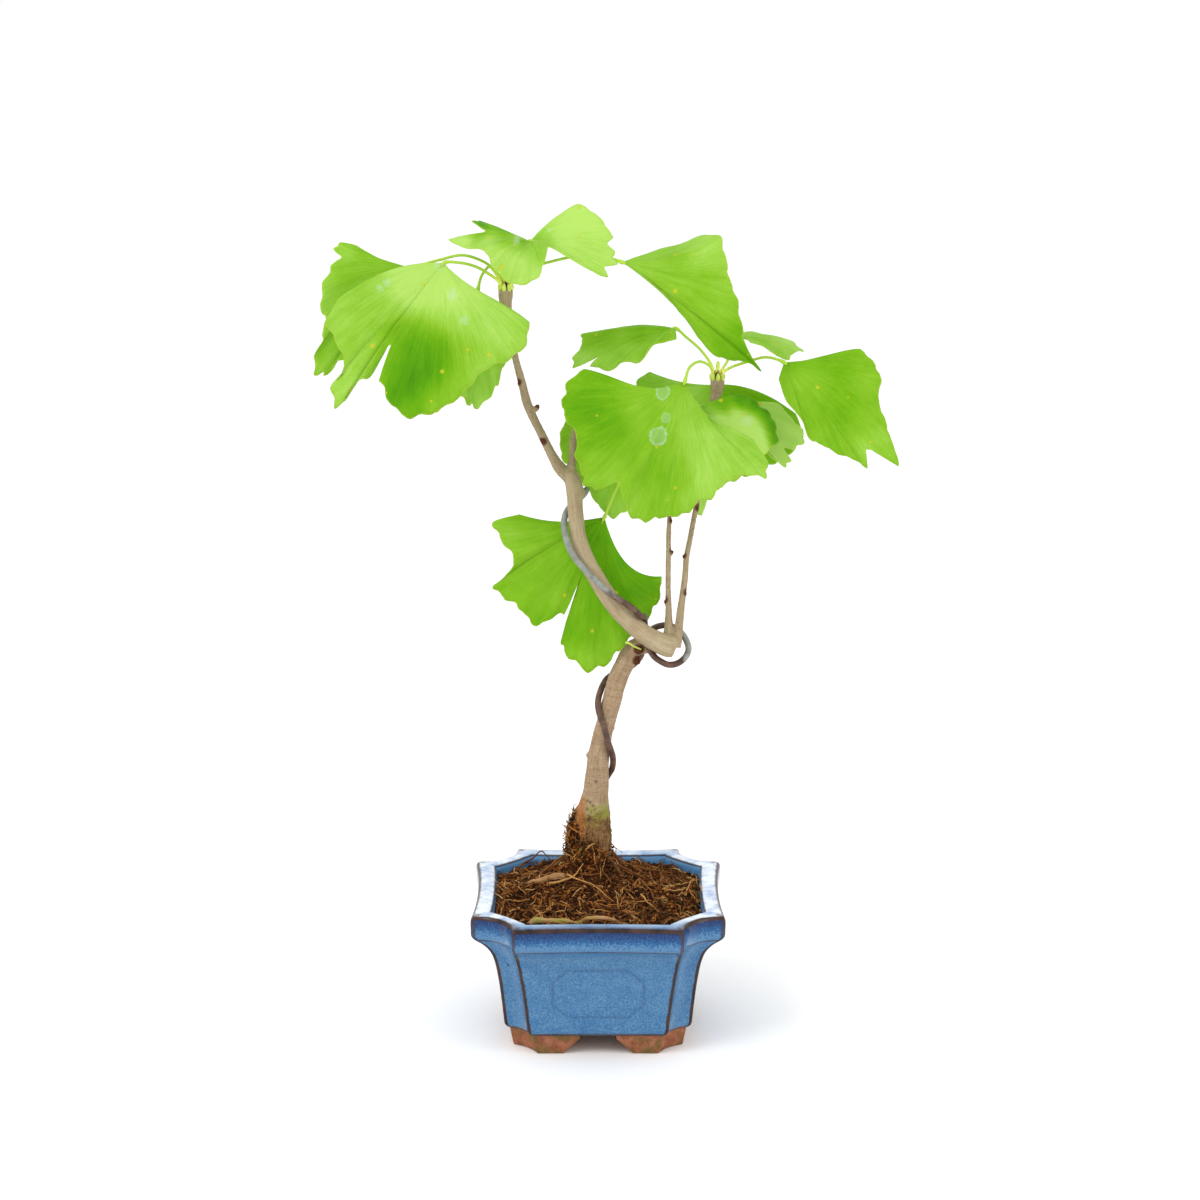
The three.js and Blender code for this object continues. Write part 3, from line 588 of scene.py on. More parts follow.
def outside_line(across, z):
    """How far a place on a side panel lies outside the eight-sided line, in millimetres."""
    x, up = np.abs(across), np.abs(z - LINE_MIDDLE)
    slant = LINE_SLANT[0] * x + LINE_SLANT[1] * up - LINE_SLANT[2]
    return np.maximum(np.maximum(x - LINE_HALF_WIDTH, up - LINE_HALF_HEIGHT), slant)


def carve(points):
    """The outside wall with the sunk line on all four sides, and 1 for each point in the line."""
    carved, sunk = points.copy(), np.zeros(len(points))
    for axis, other in ((0, 1), (1, 0)):
        on_side = (np.abs(points[:, axis]) > SIDE_FROM) & (np.abs(points[:, other]) < SIDE_HALF)
        off = outside_line(points[on_side, other], points[on_side, 2])
        sunk[on_side] = np.exp(-((off / LINE_SOFTNESS) ** 2))
        stands_out = PANEL_RISE * smoothstep(0.8, -0.8, off) - LINE_DEPTH * sunk[on_side]
        carved[on_side, axis] += np.sign(points[on_side, axis]) * stands_out
    return carved, sunk


print("sunk line", 2 * LINE_HALF_WIDTH, "mm wide and", 2 * LINE_HALF_HEIGHT, "mm high")

# %% Pot mesh
outer, sunk = carve(np.concatenate([pot_ring(level) for level in outside_rows]))
inner = np.concatenate([pot_ring(level) for level in inside_rows])
columns = len(corner_nearness())
floor_ring = pot_ring(INSIDE[-1])
bearing = np.arctan2(floor_ring[:, 1], floor_ring[:, 0])
drain = DRAIN_RADIUS * np.stack([np.cos(bearing), np.sin(bearing)], 1)
drain_rings = [np.column_stack([drain, np.full(columns, z)]) for z in (FLOOR_TOP, POT_FOOT)]
pot_points = np.concatenate([outer, inner, *drain_rings])
row_count = len(pot_points) // columns
# One row of faces more than there are rings, which closes the wall from the last ring to the first.
pot_faces = [[i % len(pot_points) for i in face] for face in grid_faces(row_count + 1, columns)]
inside = np.arange(len(pot_points)) >= len(outer)
nearness = np.tile(corner_nearness(), row_count) * ~inside
pooled = np.concatenate([sunk, np.zeros(len(pot_points) - len(sunk))])
print("pot:", len(pot_points), "points")

# %% [markdown]
# ## The glaze
# A rutile blue glaze is never one blue. It floats in pale and deep specks, runs thin and brown wherever it
# passes over an edge, pools darker on the upright band of the rim, and goes milky where it lies flat on
# top, where a painted reflection of the white room is added too, fainter towards the front. The inside wall
# is painted lighter, as fill light against its shade. A thin clear coat and a slightly wavy surface give it
# its wet look.

# %% Glaze and bare clay


def glaze_material():
    material, graph = new_material("blue_rutile_glaze")
    place = graph.place()
    height, back = graph.axis(place, "Z"), graph.axis(place, "Y")
    fine = graph.noise(place, 1150.0, 2.0, 0.6)
    cloud = graph.noise(place, 130.0, 4.0, 0.6)
    speck = graph.weighted((cloud, 0.3), (fine, 0.7))
    face = graph.ramp(speck, [(0.34, (42, 92, 142)), (0.5, (62, 112, 154)), (0.66, (90, 132, 166))])
    inside = graph.attribute("inside")
    on_outside = graph.minus(1.0, inside)
    deepness = graph.plus(graph.band(height, 0.0585, 0.0675), graph.scaled(fine, 1.6, -0.8))
    deep = graph.ramp(deepness, [(0.0, (80, 124, 164)), (0.35, (24, 86, 138)), (1.0, (0, 38, 92))])
    on_band = graph.times(graph.band(height, 0.0555, 0.0590), on_outside)
    colour = graph.mix(on_band, face, deep)
    # Painted fill light: the inside wall is drawn lighter and paler blue, against the shade that falls
    # inside the pot.
    colour = graph.tinted(colour, inside, 0.6, (92, 152, 204))
    depth = graph.band(cloud, 0.3, 0.7, 0.1, 0.5)
    colour = graph.tinted(colour, graph.attribute("pooled"), depth, (24, 66, 112))
    # Partly the glaze's own milky colour and partly a painted reflection of the white room on the flat top,
    # fainter towards the front and at the far edge.
    milky_glaze_and_sheen = graph.ramp(cloud, [(0.3, (148, 176, 216)), (0.58, (236, 242, 250))])
    sheen_to_back = graph.band(back, -0.0545, -0.043, 0.14, 0.9)
    far_edge = graph.band(back, 0.046, 0.053, 1.0, 0.66)
    milky_sheen_top = graph.times(graph.band(height, 0.0680, 0.0688), graph.times(sheen_to_back, far_edge))
    colour = graph.mix(milky_sheen_top, colour, milky_glaze_and_sheen)

    wander = graph.scaled(graph.noise(place, 260.0, 3.0), 0.8, -0.4)
    thin = graph.plus(graph.attribute("corner"), wander)
    lower = graph.band(height, 0.048, 0.064, 1.0, 0.7)
    brown = graph.times(graph.band(thin, 0.3, 0.6), lower)
    moved = graph.scaled(wander, 0.0004, height)
    # Where the glaze breaks brown over an edge: a height, how far the line is full and how far it reaches
    # from there, how strong it is, and on which side of the wall.
    lines = [
        (0.0569, 0.0002, 0.0006, 0.8, on_outside), (0.0679, 0.0007, 0.00108, 1.0, on_outside),
        (0.0106, 0.0006, 0.0013, 0.8, on_outside), (0.0682, 0.0002, 0.0006, 0.9, inside),
    ]
    for level, core, reach, strength, where in lines:
        off = graph.apart(moved, level)
        line = graph.times(graph.band(off, core, reach, strength, 0.0), where)
        brown = graph.math("MAXIMUM", brown, line)
    holes = graph.mask(SPOTS, Vector=place, Spacing=0.016, Size=0.045, Share=0.5)
    brown = graph.math("MAXIMUM", brown, graph.times(holes, 0.8))
    edge_brown = graph.ramp(cloud, [(0.35, (24, 11, 7)), (0.65, (64, 40, 34))])
    colour = graph.mix(brown, colour, edge_brown)

    dips = graph.times(holes, -2.0)
    relief = graph.plus(graph.plus(cloud, dips), graph.times(fine, 0.12))
    shader = principled(
        graph, colour, graph.band(brown, 0.0, 1.0, 0.14, 0.36), relief, 0.00035,
        **{"IOR": 1.45, "Specular IOR Level": 0.38, "Coat Weight": 0.1, "Coat Roughness": 0.05},
    )
    output(graph, shader)
    return material


def clay_material():
    material, graph = new_material("bare_terracotta")
    place = graph.place()
    cloud = graph.noise(place, 220.0, 5.0, 0.65)
    sand = graph.noise(place, 2600.0, 2.0, 0.6)
    tone = graph.weighted((sand, 0.35), (cloud, 0.65))
    clay = graph.ramp(tone, [(0.32, (106, 60, 42)), (0.5, (152, 94, 68)), (0.68, (182, 126, 96))])
    moss = graph.mask(MOSS, Vector=place, Amount=0.62)
    clay = graph.tinted(clay, moss, 0.75, (92, 92, 44))
    grit = graph.mask(SPOTS, Vector=place, Spacing=0.003, Size=0.12, Share=0.3)
    clay = graph.tinted(clay, grit, 0.5, (84, 58, 46))
    rough = graph.band(cloud, 0.3, 0.7, 0.78, 0.92)
    output(graph, principled(graph, clay, rough, tone, 0.0004, **DULL))
    return material


GLAZE, CLAY = glaze_material(), clay_material()
BARE_WITHIN, BARE_BELOW = 36.0, 30.0
pot = make_object("glazed_pot", (pot_points, pot_faces), [GLAZE, CLAY])
for name, values in (("corner", nearness), ("inside", inside), ("pooled", pooled)):
    set_attribute(pot, name, values)
face_points = pot_points[np.array(pot_faces)]
face_height, off_middle = face_points[..., 2].mean(1), np.abs(face_points[:, 0, :2]).max(1)
bare = (face_height < POT_FOOT + 0.1) | ((off_middle < BARE_WITHIN) & (face_height < BARE_BELOW))
pot.data.polygons.foreach_set("material_index", bare.astype(int).tolist())
show(pot, ["pot"])

# %% [markdown]
# ## Four feet
# The feet are the same clay as the pot, left bare where it stood in the kiln. Each is an L round a corner,
# with a slanted end towards the opening beside it. Their plan is the pot's own, so they are lofted from a
# few levels and softened with a bevel, as a sponge softens the raw clay.

# %% Feet
# A level is a height, a half width, the half length of the pot's flat panel and where the foot's end lies.
FOOT_LEVELS = [
    (0.0, 40.0, 28.5, 16.6), (0.5, 40.4, 28.8, 16.2), (8.0, 41.7, 30.6, 8.6), (10.6, 42.2, 31.2, 8.5),
]
FOOT_INNER, FOOT_HOLLOW = 25.0, 0.45
FOOT_NOTCH_POINTS, FOOT_FLAT_POINTS = 12, 5


def foot_ring(z, half, panel, opening):
    """The plan of the foot at the +x, +y corner, against the clock from the opening on the +x side."""
    along = np.linspace(opening, panel, FOOT_FLAT_POINTS + 1)[:-1]
    flat = np.stack([np.full(FOOT_FLAT_POINTS, half), along], 1)
    notch = notch_curve(half, panel, FOOT_HOLLOW, FOOT_NOTCH_POINTS)
    inner = np.array([(opening, FOOT_INNER), (FOOT_INNER, FOOT_INNER), (FOOT_INNER, opening)])
    plan = np.concatenate([flat, notch, flat[::-1, ::-1], inner])
    return np.column_stack([plan, np.full(len(plan), z)])


foot_points, foot_faces = lofted([foot_ring(*level) for level in FOOT_LEVELS])
turned_feet = [np.column_stack([foot_points[:, :2] @ turn, foot_points[:, 2]]) for turn in QUARTER_TURNS]
feet = make_object("bare_clay_feet", together([(points, foot_faces) for points in turned_feet]), [CLAY])
bevel = feet.modifiers.new("sponged", "BEVEL")
bevel.width, bevel.segments, bevel.limit_method, bevel.angle_limit = 0.7 * MM, 3, "ANGLE", math.radians(40)
show(feet, ["pot"])

# %% [markdown]
# ## The soil bed
# The pot is filled with dark, peaty soil that rises to the trunk and drops a little into the corners. The
# bed itself is one closed body that follows the inside of the pot. Its surface is only the dark ground on
# which the crumbs and rootlets of the next steps lie.

# %% Soil heights and the bed
SOIL_LEVEL, SOIL_CORNER_DROP = 67.6, 4.0
MOUND_HEIGHT, MOUND_SPREAD = 15.0, 19.0
TRUNK_FOOT = (-3.9, 9.0)
SOIL_CORNER = 1500.0
SOIL_CLEARANCE, SOIL_LIFT, LOOSE_FROM = 0.5, 0.3, 62.0
BED_SHARES = np.linspace(0.03, 1, 56)


def soil_height(x, y):
    from_trunk = np.hypot(x - TRUNK_FOOT[0], y - TRUNK_FOOT[1])
    corner = np.minimum(1, np.abs(x * y) / SOIL_CORNER)
    mound = MOUND_HEIGHT * np.exp(-((from_trunk / MOUND_SPREAD) ** 2))
    waves = 0.7 * (np.sin(0.55 * x + 0.4) * np.cos(0.48 * y - 0.9) + 0.5 * np.sin(1.1 * x - 0.8 * y))
    return SOIL_LEVEL - SOIL_CORNER_DROP * corner + mound + waves


def drawn_in(level):
    half, z, bow, panel, hollow = level
    return (half - SOIL_CLEARANCE, z, bow, panel - SOIL_CLEARANCE, hollow)


SOIL_WALL = [drawn_in(level) for level in INSIDE[4:]]
lip = pot_ring(SOIL_WALL[0])[::3]
surface = []
for share in BED_SHARES[::-1]:
    ring = lip * (share, share, 1)
    ring[:, 2] = soil_height(ring[:, 0], ring[:, 1])
    surface.append(ring)
wall = [pot_ring(level)[::3] for level in SOIL_WALL]
wall[-1][:, 2] += SOIL_LIFT
bed_points, bed_faces = lofted(wall[::-1][:-1] + surface)
loose = bed_points[:, 2] > LOOSE_FROM
bed_points[loose, 2] += 0.7 * noise_at(bed_points[loose], 3.0) + 0.5 * noise_at(bed_points[loose], 1.2)


def soil_material():
    material, graph = new_material("peaty_soil")
    place = graph.place()
    cloud = graph.noise(place, 160.0, 5.0, 0.65)
    grains = graph.noise(place, 1500.0, 4.0, 0.7)
    tone = graph.weighted((grains, 0.55), (cloud, 0.45))
    earth = graph.ramp(tone, [(0.36, (22, 12, 6)), (0.5, (52, 28, 14)), (0.62, (104, 62, 32))])
    moss = graph.mask(MOSS, Vector=place, Amount=0.5)
    earth = graph.tinted(earth, moss, 0.5, (62, 62, 22))
    output(graph, principled(graph, earth, 0.95, grains, 0.0012, **DULL))
    return material


SOIL = soil_material()
bed = make_object("soil_bed", (bed_points, bed_faces), [SOIL])
bed_place = mesh_points(bed.data)
on_top = smoothstep(59, 63, bed_place[:, 2]) * (mesh_vectors(bed.data, "normal")[:, 2] > 0.3)
set_attribute(bed, "top", on_top)
to_front_right = smoothstep(12, 40, bed_place[:, 0] - bed_place[:, 1] * 0.6)
mossy = on_top * smoothstep(0.0, 0.5, noise_at(bed_place, 14.0, 3.0) + to_front_right - 0.6)
set_attribute(bed, "mossy", mossy)
show(bed, ["soil"])

# %% [markdown]
# ## Crumbs and rootlets by Geometry Nodes
# Real potting soil is thousands of crumbs and broken rootlets. Placing them by hand is hopeless, and that
# is what Geometry Nodes are for: one tree scatters rough crumbs over a surface, the other lays wandering
# fibres on it. Both take their sizes as named inputs, so that the same trees also make the moss and the
# crust at the trunk's foot. A fixed seed keeps every run the same.

# %% The two scatter trees


def scatter_points(graph, given):
    """Points on the surface where the mask allows them, lifted a little."""
    spread = graph.add("GeometryNodeDistributePointsOnFaces", {
        "Mesh": given["Surface"], "Density": graph.times(given["Density"], own_number(graph, given["Mask"])),
        "Seed": given["Seed"],
    }).outputs
    lift = graph.times(random_value(graph, 0.0, 1.0, 7), given["Lift"])
    offset = graph.stretched(spread["Normal"], lift)
    lifted = graph.add("GeometryNodeSetPosition", {"Geometry": spread["Points"], "Offset": offset})
    return lifted.outputs[0], spread["Rotation"]


def own_number(graph, name):
    """The number that a point or a copy keeps under this name."""
    kept = graph.add("GeometryNodeInputNamedAttribute", {"Name": name}, data_type="FLOAT")
    return kept.outputs["Attribute"]


def random_value(graph, low, high, seed):
    node = graph.add("FunctionNodeRandomValue", data_type="FLOAT")
    for socket, value in ((2, low), (3, high), (8, seed)):
        node.inputs[socket].default_value = value
    return node.outputs[1]


def turned_by(graph, rotation, axis, angle):
    """A rotation with one more turn, about its own axis."""
    turn = graph.add("FunctionNodeAxisAngleToRotation", {"Axis": axis, "Angle": angle}).outputs[0]
    return graph.add("FunctionNodeRotateRotation", {0: rotation, 1: turn}, rotation_space="LOCAL").outputs[0]


def copied(graph, points, original, rotation, size):
    """A real copy at each point, with a number of its own that its material turns into a colour."""
    copies = graph.add("GeometryNodeInstanceOnPoints", {
        "Points": points, "Instance": original, "Rotation": rotation, "Scale": size,
    }).outputs[0]
    toned = graph.add("GeometryNodeStoreNamedAttribute", {
        "Geometry": copies, "Name": "tone", "Value": random_value(graph, 0.0, 1.0, 11),
    }, data_type="FLOAT", domain="INSTANCE").outputs[0]
    return graph.add("GeometryNodeRealizeInstances", {"Geometry": toned}).outputs[0]


def roughened(graph, geometry, scale, strength):
    """Moves points by smooth noise, so that no two copies are alike."""
    position = graph.add("GeometryNodeInputPosition").outputs[0]
    pattern = graph.add("ShaderNodeTexNoise", {"Vector": position, "Scale": scale, "Detail": 1.0})
    centred = graph.vector_math("SUBTRACT", pattern.outputs["Color"], (0.5, 0.5, 0.5))
    moved = {"Geometry": geometry, "Offset": graph.stretched(centred, strength)}
    return graph.add("GeometryNodeSetPosition", moved).outputs[0]


def with_finish(graph, geometry, finish):
    return graph.add("GeometryNodeSetMaterial", {"Geometry": geometry, "Material": finish}).outputs[0]


SCATTER_INPUTS = {
    "Surface": ("Geometry", None), "Mask": ("String", "top"), "Density": ("Float", 1000.0),
    "Lift": ("Float", 0.0005), "Size": ("Float", 0.001), "Seed": ("Int", 1), "Finish": ("Material", None),
}
FIBRE_INPUTS = {"Length": ("Float", 0.01), "Wander": ("Float", 0.006), "Tilt": ("Float", 0.3)}
GEOMETRY = {"Geometry": ("Geometry", None)}
FULL_TURN = 6.28


def crumb_tree():
    graph, given, result = new_group("Crumbs", SCATTER_INPUTS, GEOMETRY, "GeometryNodeTree")
    points, _ = scatter_points(graph, given)
    ball = graph.add("GeometryNodeMeshIcoSphere", {"Radius": 1.0, "Subdivisions": 1}).outputs[0]
    spin = graph.add("FunctionNodeRandomValue", {1: (FULL_TURN,) * 3}, data_type="FLOAT_VECTOR").outputs[0]
    size = graph.times(random_value(graph, 0.35, 1.25, 5), given["Size"])
    real = copied(graph, points, ball, spin, size)
    rough = roughened(graph, real, 900.0, graph.times(given["Size"], 1.6))
    graph.feed(result[0], with_finish(graph, rough, given["Finish"]))
    return graph.tree


def fibre_tree():
    inputs = {**SCATTER_INPUTS, **FIBRE_INPUTS}
    graph, given, result = new_group("Fibres", inputs, GEOMETRY, "GeometryNodeTree")
    points, facing = scatter_points(graph, given)
    line = graph.add("GeometryNodeCurvePrimitiveLine", {"Start": (-0.5, 0, 0), "End": (0.5, 0, 0)})
    bent = graph.add("GeometryNodeResampleCurve", {"Curve": line.outputs[0], "Count": 8}).outputs[0]
    turned = turned_by(graph, facing, (0, 0, 1), random_value(graph, 0.0, FULL_TURN, 3))
    lean = graph.times(random_value(graph, -1.0, 1.0, 4), given["Tilt"])
    long = graph.times(random_value(graph, 0.35, 1.4, 5), given["Length"])
    real = copied(graph, points, bent, turned_by(graph, turned, (0, 1, 0), lean), long)
    bowed = roughened(graph, roughened(graph, real, 120.0, given["Wander"]), 420.0, 0.0022)
    along = graph.add("GeometryNodeSplineParameter").outputs["Factor"]
    taper = graph.band(graph.apart(along, 0.5), 0.1, 0.5, 1.0, 0.35)
    by_tone = graph.band(own_number(graph, "tone"), 0.0, 1.0, 0.55, 1.2)
    thick = graph.times(graph.times(taper, given["Size"]), by_tone)
    section = graph.add("GeometryNodeCurvePrimitiveCircle", {"Resolution": 4, "Radius": 1.0}).outputs[0]
    skin = graph.add("GeometryNodeCurveToMesh", {
        "Curve": bowed, "Profile Curve": section, "Scale": thick, "Fill Caps": True,
    }).outputs[0]
    done = with_finish(graph, skin, given["Finish"])
    graph.feed(result[0], graph.add("GeometryNodeSetShadeSmooth", {"Geometry": done}).outputs[0])
    return graph.tree


CRUMBS, FIBRES = crumb_tree(), fibre_tree()


def scatter(name, slot, tree, surface_object, **inputs):
    """Runs a scatter tree on a surface and shows its result as a plain mesh of its own."""
    modifier = surface_object.modifiers.new("scatter", "NODES")
    modifier.node_group = tree
    for item in tree.interface.items_tree:
        key = item.name.lower()
        if item.in_out == "INPUT" and key in inputs:
            modifier[item.identifier] = inputs[key]
    mesh = evaluated_mesh(surface_object)
    surface_object.modifiers.remove(modifier)
    mesh.name = name
    show(in_scene(name, mesh))


print("scatter trees:", CRUMBS.name, FIBRES.name)

# %% Crumb, rootlet and moss finishes


def toned_material(name, stops, rough, strength):
    """A rough, matt finish whose colour comes from each crumb's or fibre's own tone."""
    material, graph = new_material(name)
    place = graph.place()
    grain = graph.noise(place, 1800.0, 2.0, 0.6)
    tone = graph.scaled(grain, strength, graph.attribute("tone"))
    colour = graph.ramp(graph.minus(tone, strength / 2), stops)
    output(graph, principled(graph, colour, rough, grain, 0.0005, **DULL))
    return material


CRUMB_FINISH = toned_material("soil_crumbs", [
    (0.0, (26, 13, 4)), (0.45, (64, 33, 11)), (0.75, (112, 60, 20)), (0.93, (158, 90, 30)),
    (1.0, (174, 128, 68)),
], 0.95, 0.5)
FIBRE_FINISH = toned_material("dry_rootlets", [
    (0.0, (40, 22, 9)), (0.45, (86, 50, 24)), (0.76, (136, 86, 42)), (0.92, (182, 124, 60)),
    (1.0, (204, 164, 108)),
], 0.8, 0.35)
MOSS_FINISH = toned_material("moss_tufts", [
    (0.0, (36, 40, 14)), (0.6, (70, 74, 26)), (1.0, (108, 110, 46)),
], 0.9, 0.3)

# %% Scatter over the soil
scatter(
    "soil_crumbs", "soil", CRUMBS, bed, mask="top", density=480000.0, lift=0.0008, size=0.0007, seed=4,
    finish=CRUMB_FINISH,
)
scatter(
    "soil_rootlets", "soil", FIBRES, bed, mask="top", density=230000.0, lift=0.0016, size=0.00027,
    length=0.0095, wander=0.008, tilt=0.24, seed=9, finish=FIBRE_FINISH,
)
scatter(
    "moss_tufts", "soil", CRUMBS, bed, mask="mossy", density=300000.0, lift=0.0011, size=0.00036, seed=17,
    finish=MOSS_FINISH,
)

# %% [markdown]
# ## The tree's limbs
# A tree is a set of tapering limbs that flow into each other. Each limb here is a line of measured points
# with a radius, made into a closed tube. The tubes are then fused by a voxel remesh, which turns crossing
# tubes into one skin with no seams inside. Smoothing afterwards gives the joints their natural collars.

# %% Limb lines
TRUNK = [
    (-3.5, 9, 46, 6.0), (-3.7, 9, 66, 8.6), (-3.8, 9, 84, 10.2), (-3.3, 9, 95, 9.6), (-2.6, 9, 103, 8.4),
    (-1.9, 9, 108.6, 7.2), (-1.2, 9, 113.6, 6.3), (-0.6, 9, 121, 5.8), (0, 9, 130, 5.3),
    (1.4, 9.1, 139, 4.8), (3.3, 9.4, 148, 4.6), (6.5, 10, 159.6, 4.6), (9.1, 10.6, 169.4, 4.7),
    (12.8, 11.2, 178, 4.6), (16.5, 12, 184.6, 4.4), (22, 11, 187, 4.2), (28, 6, 188.3, 4.2),
    (31.5, 0, 190, 4.2), (33, -3, 191, 4.0),
]
BRANCH = [
    (36.2, -5, 189.7, 4.4), (34.4, -5, 190.4, 5.1), (30, -5, 191.9, 5.1), (24.4, -5, 194.8, 4.7),
    (16.4, -5, 201.1, 4.4), (7.5, -5, 210.8, 4.2), (1.8, -5, 219.5, 4.1), (-4.2, -5, 230.2, 4.0),
    (-8.2, -5, 239.8, 3.9), (-10.2, -5, 251, 3.7), (-10.7, -4.6, 259.3, 3.7), (-11.2, -4.2, 268.3, 4.0),
    (-13.6, -4, 275, 3.6),
]
TWIGS = {
    "left": [
        (-13.5, -4, 272, 3.2), (-17.7, -4, 276.3, 2.9), (-20.8, -4.3, 281.4, 2.3), (-25.4, -4.8, 291, 2.0),
        (-30, -5.4, 300.6, 2.0), (-32.6, -5.8, 307, 2.1), (-35.7, -6.6, 319.8, 1.8), (-38, -7, 328.7, 1.6),
        (-40.6, -7.6, 343, 1.7), (-42.2, -8, 354, 2.8), (-42.3, -8, 358, 3.3), (-42.3, -8, 361, 3.4),
    ],
    "stub": [
        (-13.6, -4, 272, 2.8), (-12.2, -2.8, 278, 1.9), (-11.4, 0, 289, 1.6), (-9.2, 2, 295, 2.1),
        (-7.2, 3, 298, 2.8), (-6.8, 3, 300.5, 3.0),
    ],
    "middle": [
        (32.9, -2, 193, 2.4), (33.2, 0, 199.5, 2.1), (33.2, 0.8, 206, 1.6), (32.9, 1.6, 221, 1.3),
        (33, 2.4, 233.6, 1.3), (33.3, 3, 250.6, 1.1), (35, 3.5, 274, 1.2), (36.2, 4, 287, 2.0),
        (36.6, 4, 292.5, 2.8), (36.6, 4, 295, 3.0),
    ],
    "right": [
        (36.2, -3, 190, 3.0), (37.6, -1, 195.4, 2.3), (38.9, 1, 206.8, 1.8), (40.8, 2.6, 221.8, 1.5),
        (41.5, 3.4, 231.4, 1.4), (43.6, 4.4, 242.9, 1.3), (47.2, 6, 262.6, 1.3), (50.9, 8.6, 284.5, 1.4),
        (53.6, 11, 303.6, 2.0), (55.2, 11.8, 309, 2.7), (55.6, 12, 313, 3.3), (55.6, 12, 315.5, 3.4),
    ],
}
# Surface roots: a ground plan from the trunk outward with how high the root lies in the soil, negative where
# it dives under, and its radius at the trunk.
ROOTS = [
    ([(-11, 12, 5), (-18, 17, 2.6), (-28, 20, 1.6), (-36, 20, 0.6), (-44, 17, -2)], 1.3),
    ([(-11, 5, -3), (-14, -2.6, -1.5), (-17, -3.2, 1.8), (-22, -1.2, 2.4), (-27, 1.2, 2.2), (-32, 3.8, 1.4),
      (-36, 5, -1)], 2.0),
    ([(-12, 0, -5), (-30, -22, -6), (-33, -36, -2), (-29, -40, 2.4), (-22, -41.6, 2.0), (-15, -43, 1.2),
      (-10, -44, 1.1), (-5, -44.6, 2.3), (1, -45.4, 3.2), (6, -46, 2.8), (12, -46.6, 0.8)], 1.75),
    ([(5, 5, 3), (11, 3, 0), (18, -1, -3), (24, -11, -5)], 1.2),
    ([(5, 12, 4.5), (11, 19, 2), (16, 23, 0), (24, 26, -3)], 1.6),
    ([(-8, 17, 5), (-13, 21, 3), (-20, 26, 1), (-32, 31, -2)], 1.4),
]


def root_line(plan, radius):
    share = np.linspace(0, 1, len(plan))
    x, y, lift = np.array(plan, float).T
    thick = radius * (1 - 0.5 * share)
    return np.column_stack([x, y, soil_height(x, y) + lift, thick])


# Limb kinds, which the bark material reads as these numbers.
ON_TRUNK, ON_BRANCH, ON_TWIG, ON_ROOT = range(4)
limbs = [(ON_TRUNK, np.array(TRUNK, float)), (ON_BRANCH, np.array(BRANCH, float))]
limbs += [(ON_TWIG, np.array(line, float)) for line in TWIGS.values()]
limbs += [(ON_ROOT, root_line(plan, radius)) for plan, radius in ROOTS]
print("limbs:", len(limbs))

# %% [markdown]
# ## Small growth on the limbs
# What makes a twig a ginkgo's is its spurs: short thick shoots ringed like a stack of coins, each ending in
# a bud. Buds also sit along the twigs, and old stubs and knots break the trunk's outline. They are simple
# spindles that the fuse melts into the bark.

# %% Buds, rings and knots


def spindle(start, end, profile):
    """A straight limb from start to end whose radius follows the profile."""
    share = np.linspace(0, 1, len(profile))[:, None]
    centres = np.array(start, float) * (1 - share) + np.array(end, float) * share
    return np.column_stack([centres, profile])


# Buds are a start, an end and a radius, and knots have the radius at even steps instead.
SIDE_BUDS = [
    ((-28.9, -6.0, 304), (-27.4, -7.6, 307.2), 1.3), ((33.2, 1.6, 233), (35.4, 1.4, 235.6), 1.1),
    ((41.5, 2.6, 230.6), (39.6, 1.6, 233.4), 1.0), ((32.9, 1.2, 209), (31.0, 0.2, 212), 1.1),
    ((-35.0, -7.0, 315), (-37.2, -8.6, 317.6), 0.9), ((39.6, 1.6, 213), (41.9, 1.2, 215.4), 1.0),
    ((33.2, 2.8, 248), (34.9, 2.6, 250.2), 0.9), ((45.4, 5.2, 253), (47.3, 4.6, 255.4), 0.9),
    ((-23.6, -4.6, 287), (-25.6, -6.2, 289.4), 0.8),
]
KNOTS = [
    ((18.6, 9.5, 186.5), (19.6, 3.6, 186.4), (2.4, 3.2, 2.9, 1.6)),
    ((16.8, 8.5, 181.4), (19.6, 6.0, 179.2), (1.8, 2.3, 1.9, 0.9)),
    ((-4.2, 8.4, 133), (-5.6, 7.6, 133.4), (1.2, 1.5, 1.1, 0.5)),
    ((-11.0, -5.6, 262), (-14.2, -6.8, 263.4), (2.2, 2.4, 1.8, 0.8)),
    ((-8.6, -4.4, 264), (-6.0, -5.4, 266.2), (2.2, 2.2, 1.6, 0.7)),
    ((5.4, 8.2, 146), (7.9, 7.4, 147.2), (1.4, 1.6, 1.2, 0.5)),
]
growth = [spindle(a, b, (r * 0.8, r, r * 0.85, r * 0.2)) for a, b, r in SIDE_BUDS]
growth += [spindle(a, b, profile) for a, b, profile in KNOTS]
END_BUDS = [line[-1][:3] for line in TWIGS.values()]
for x, y, z in END_BUDS:
    growth.append(spindle((x, y, z), (x + 0.2, y - 0.3, z + 3.8), (1.5, 1.5, 1.3, 0.8, 0.15)))
RING_PLACES = range(1, 20, 3)
for line in TWIGS.values():
    fine_line = even_line(line, spacing=0.5)
    for back in RING_PLACES:
        x, y, z, radius = fine_line[-1 - back]
        ring = (radius * 0.8, radius + 0.28, radius * 0.8)
        growth.append(spindle((x, y, z - 0.45), (x, y, z + 0.45), ring))
print("small growth:", len(growth))

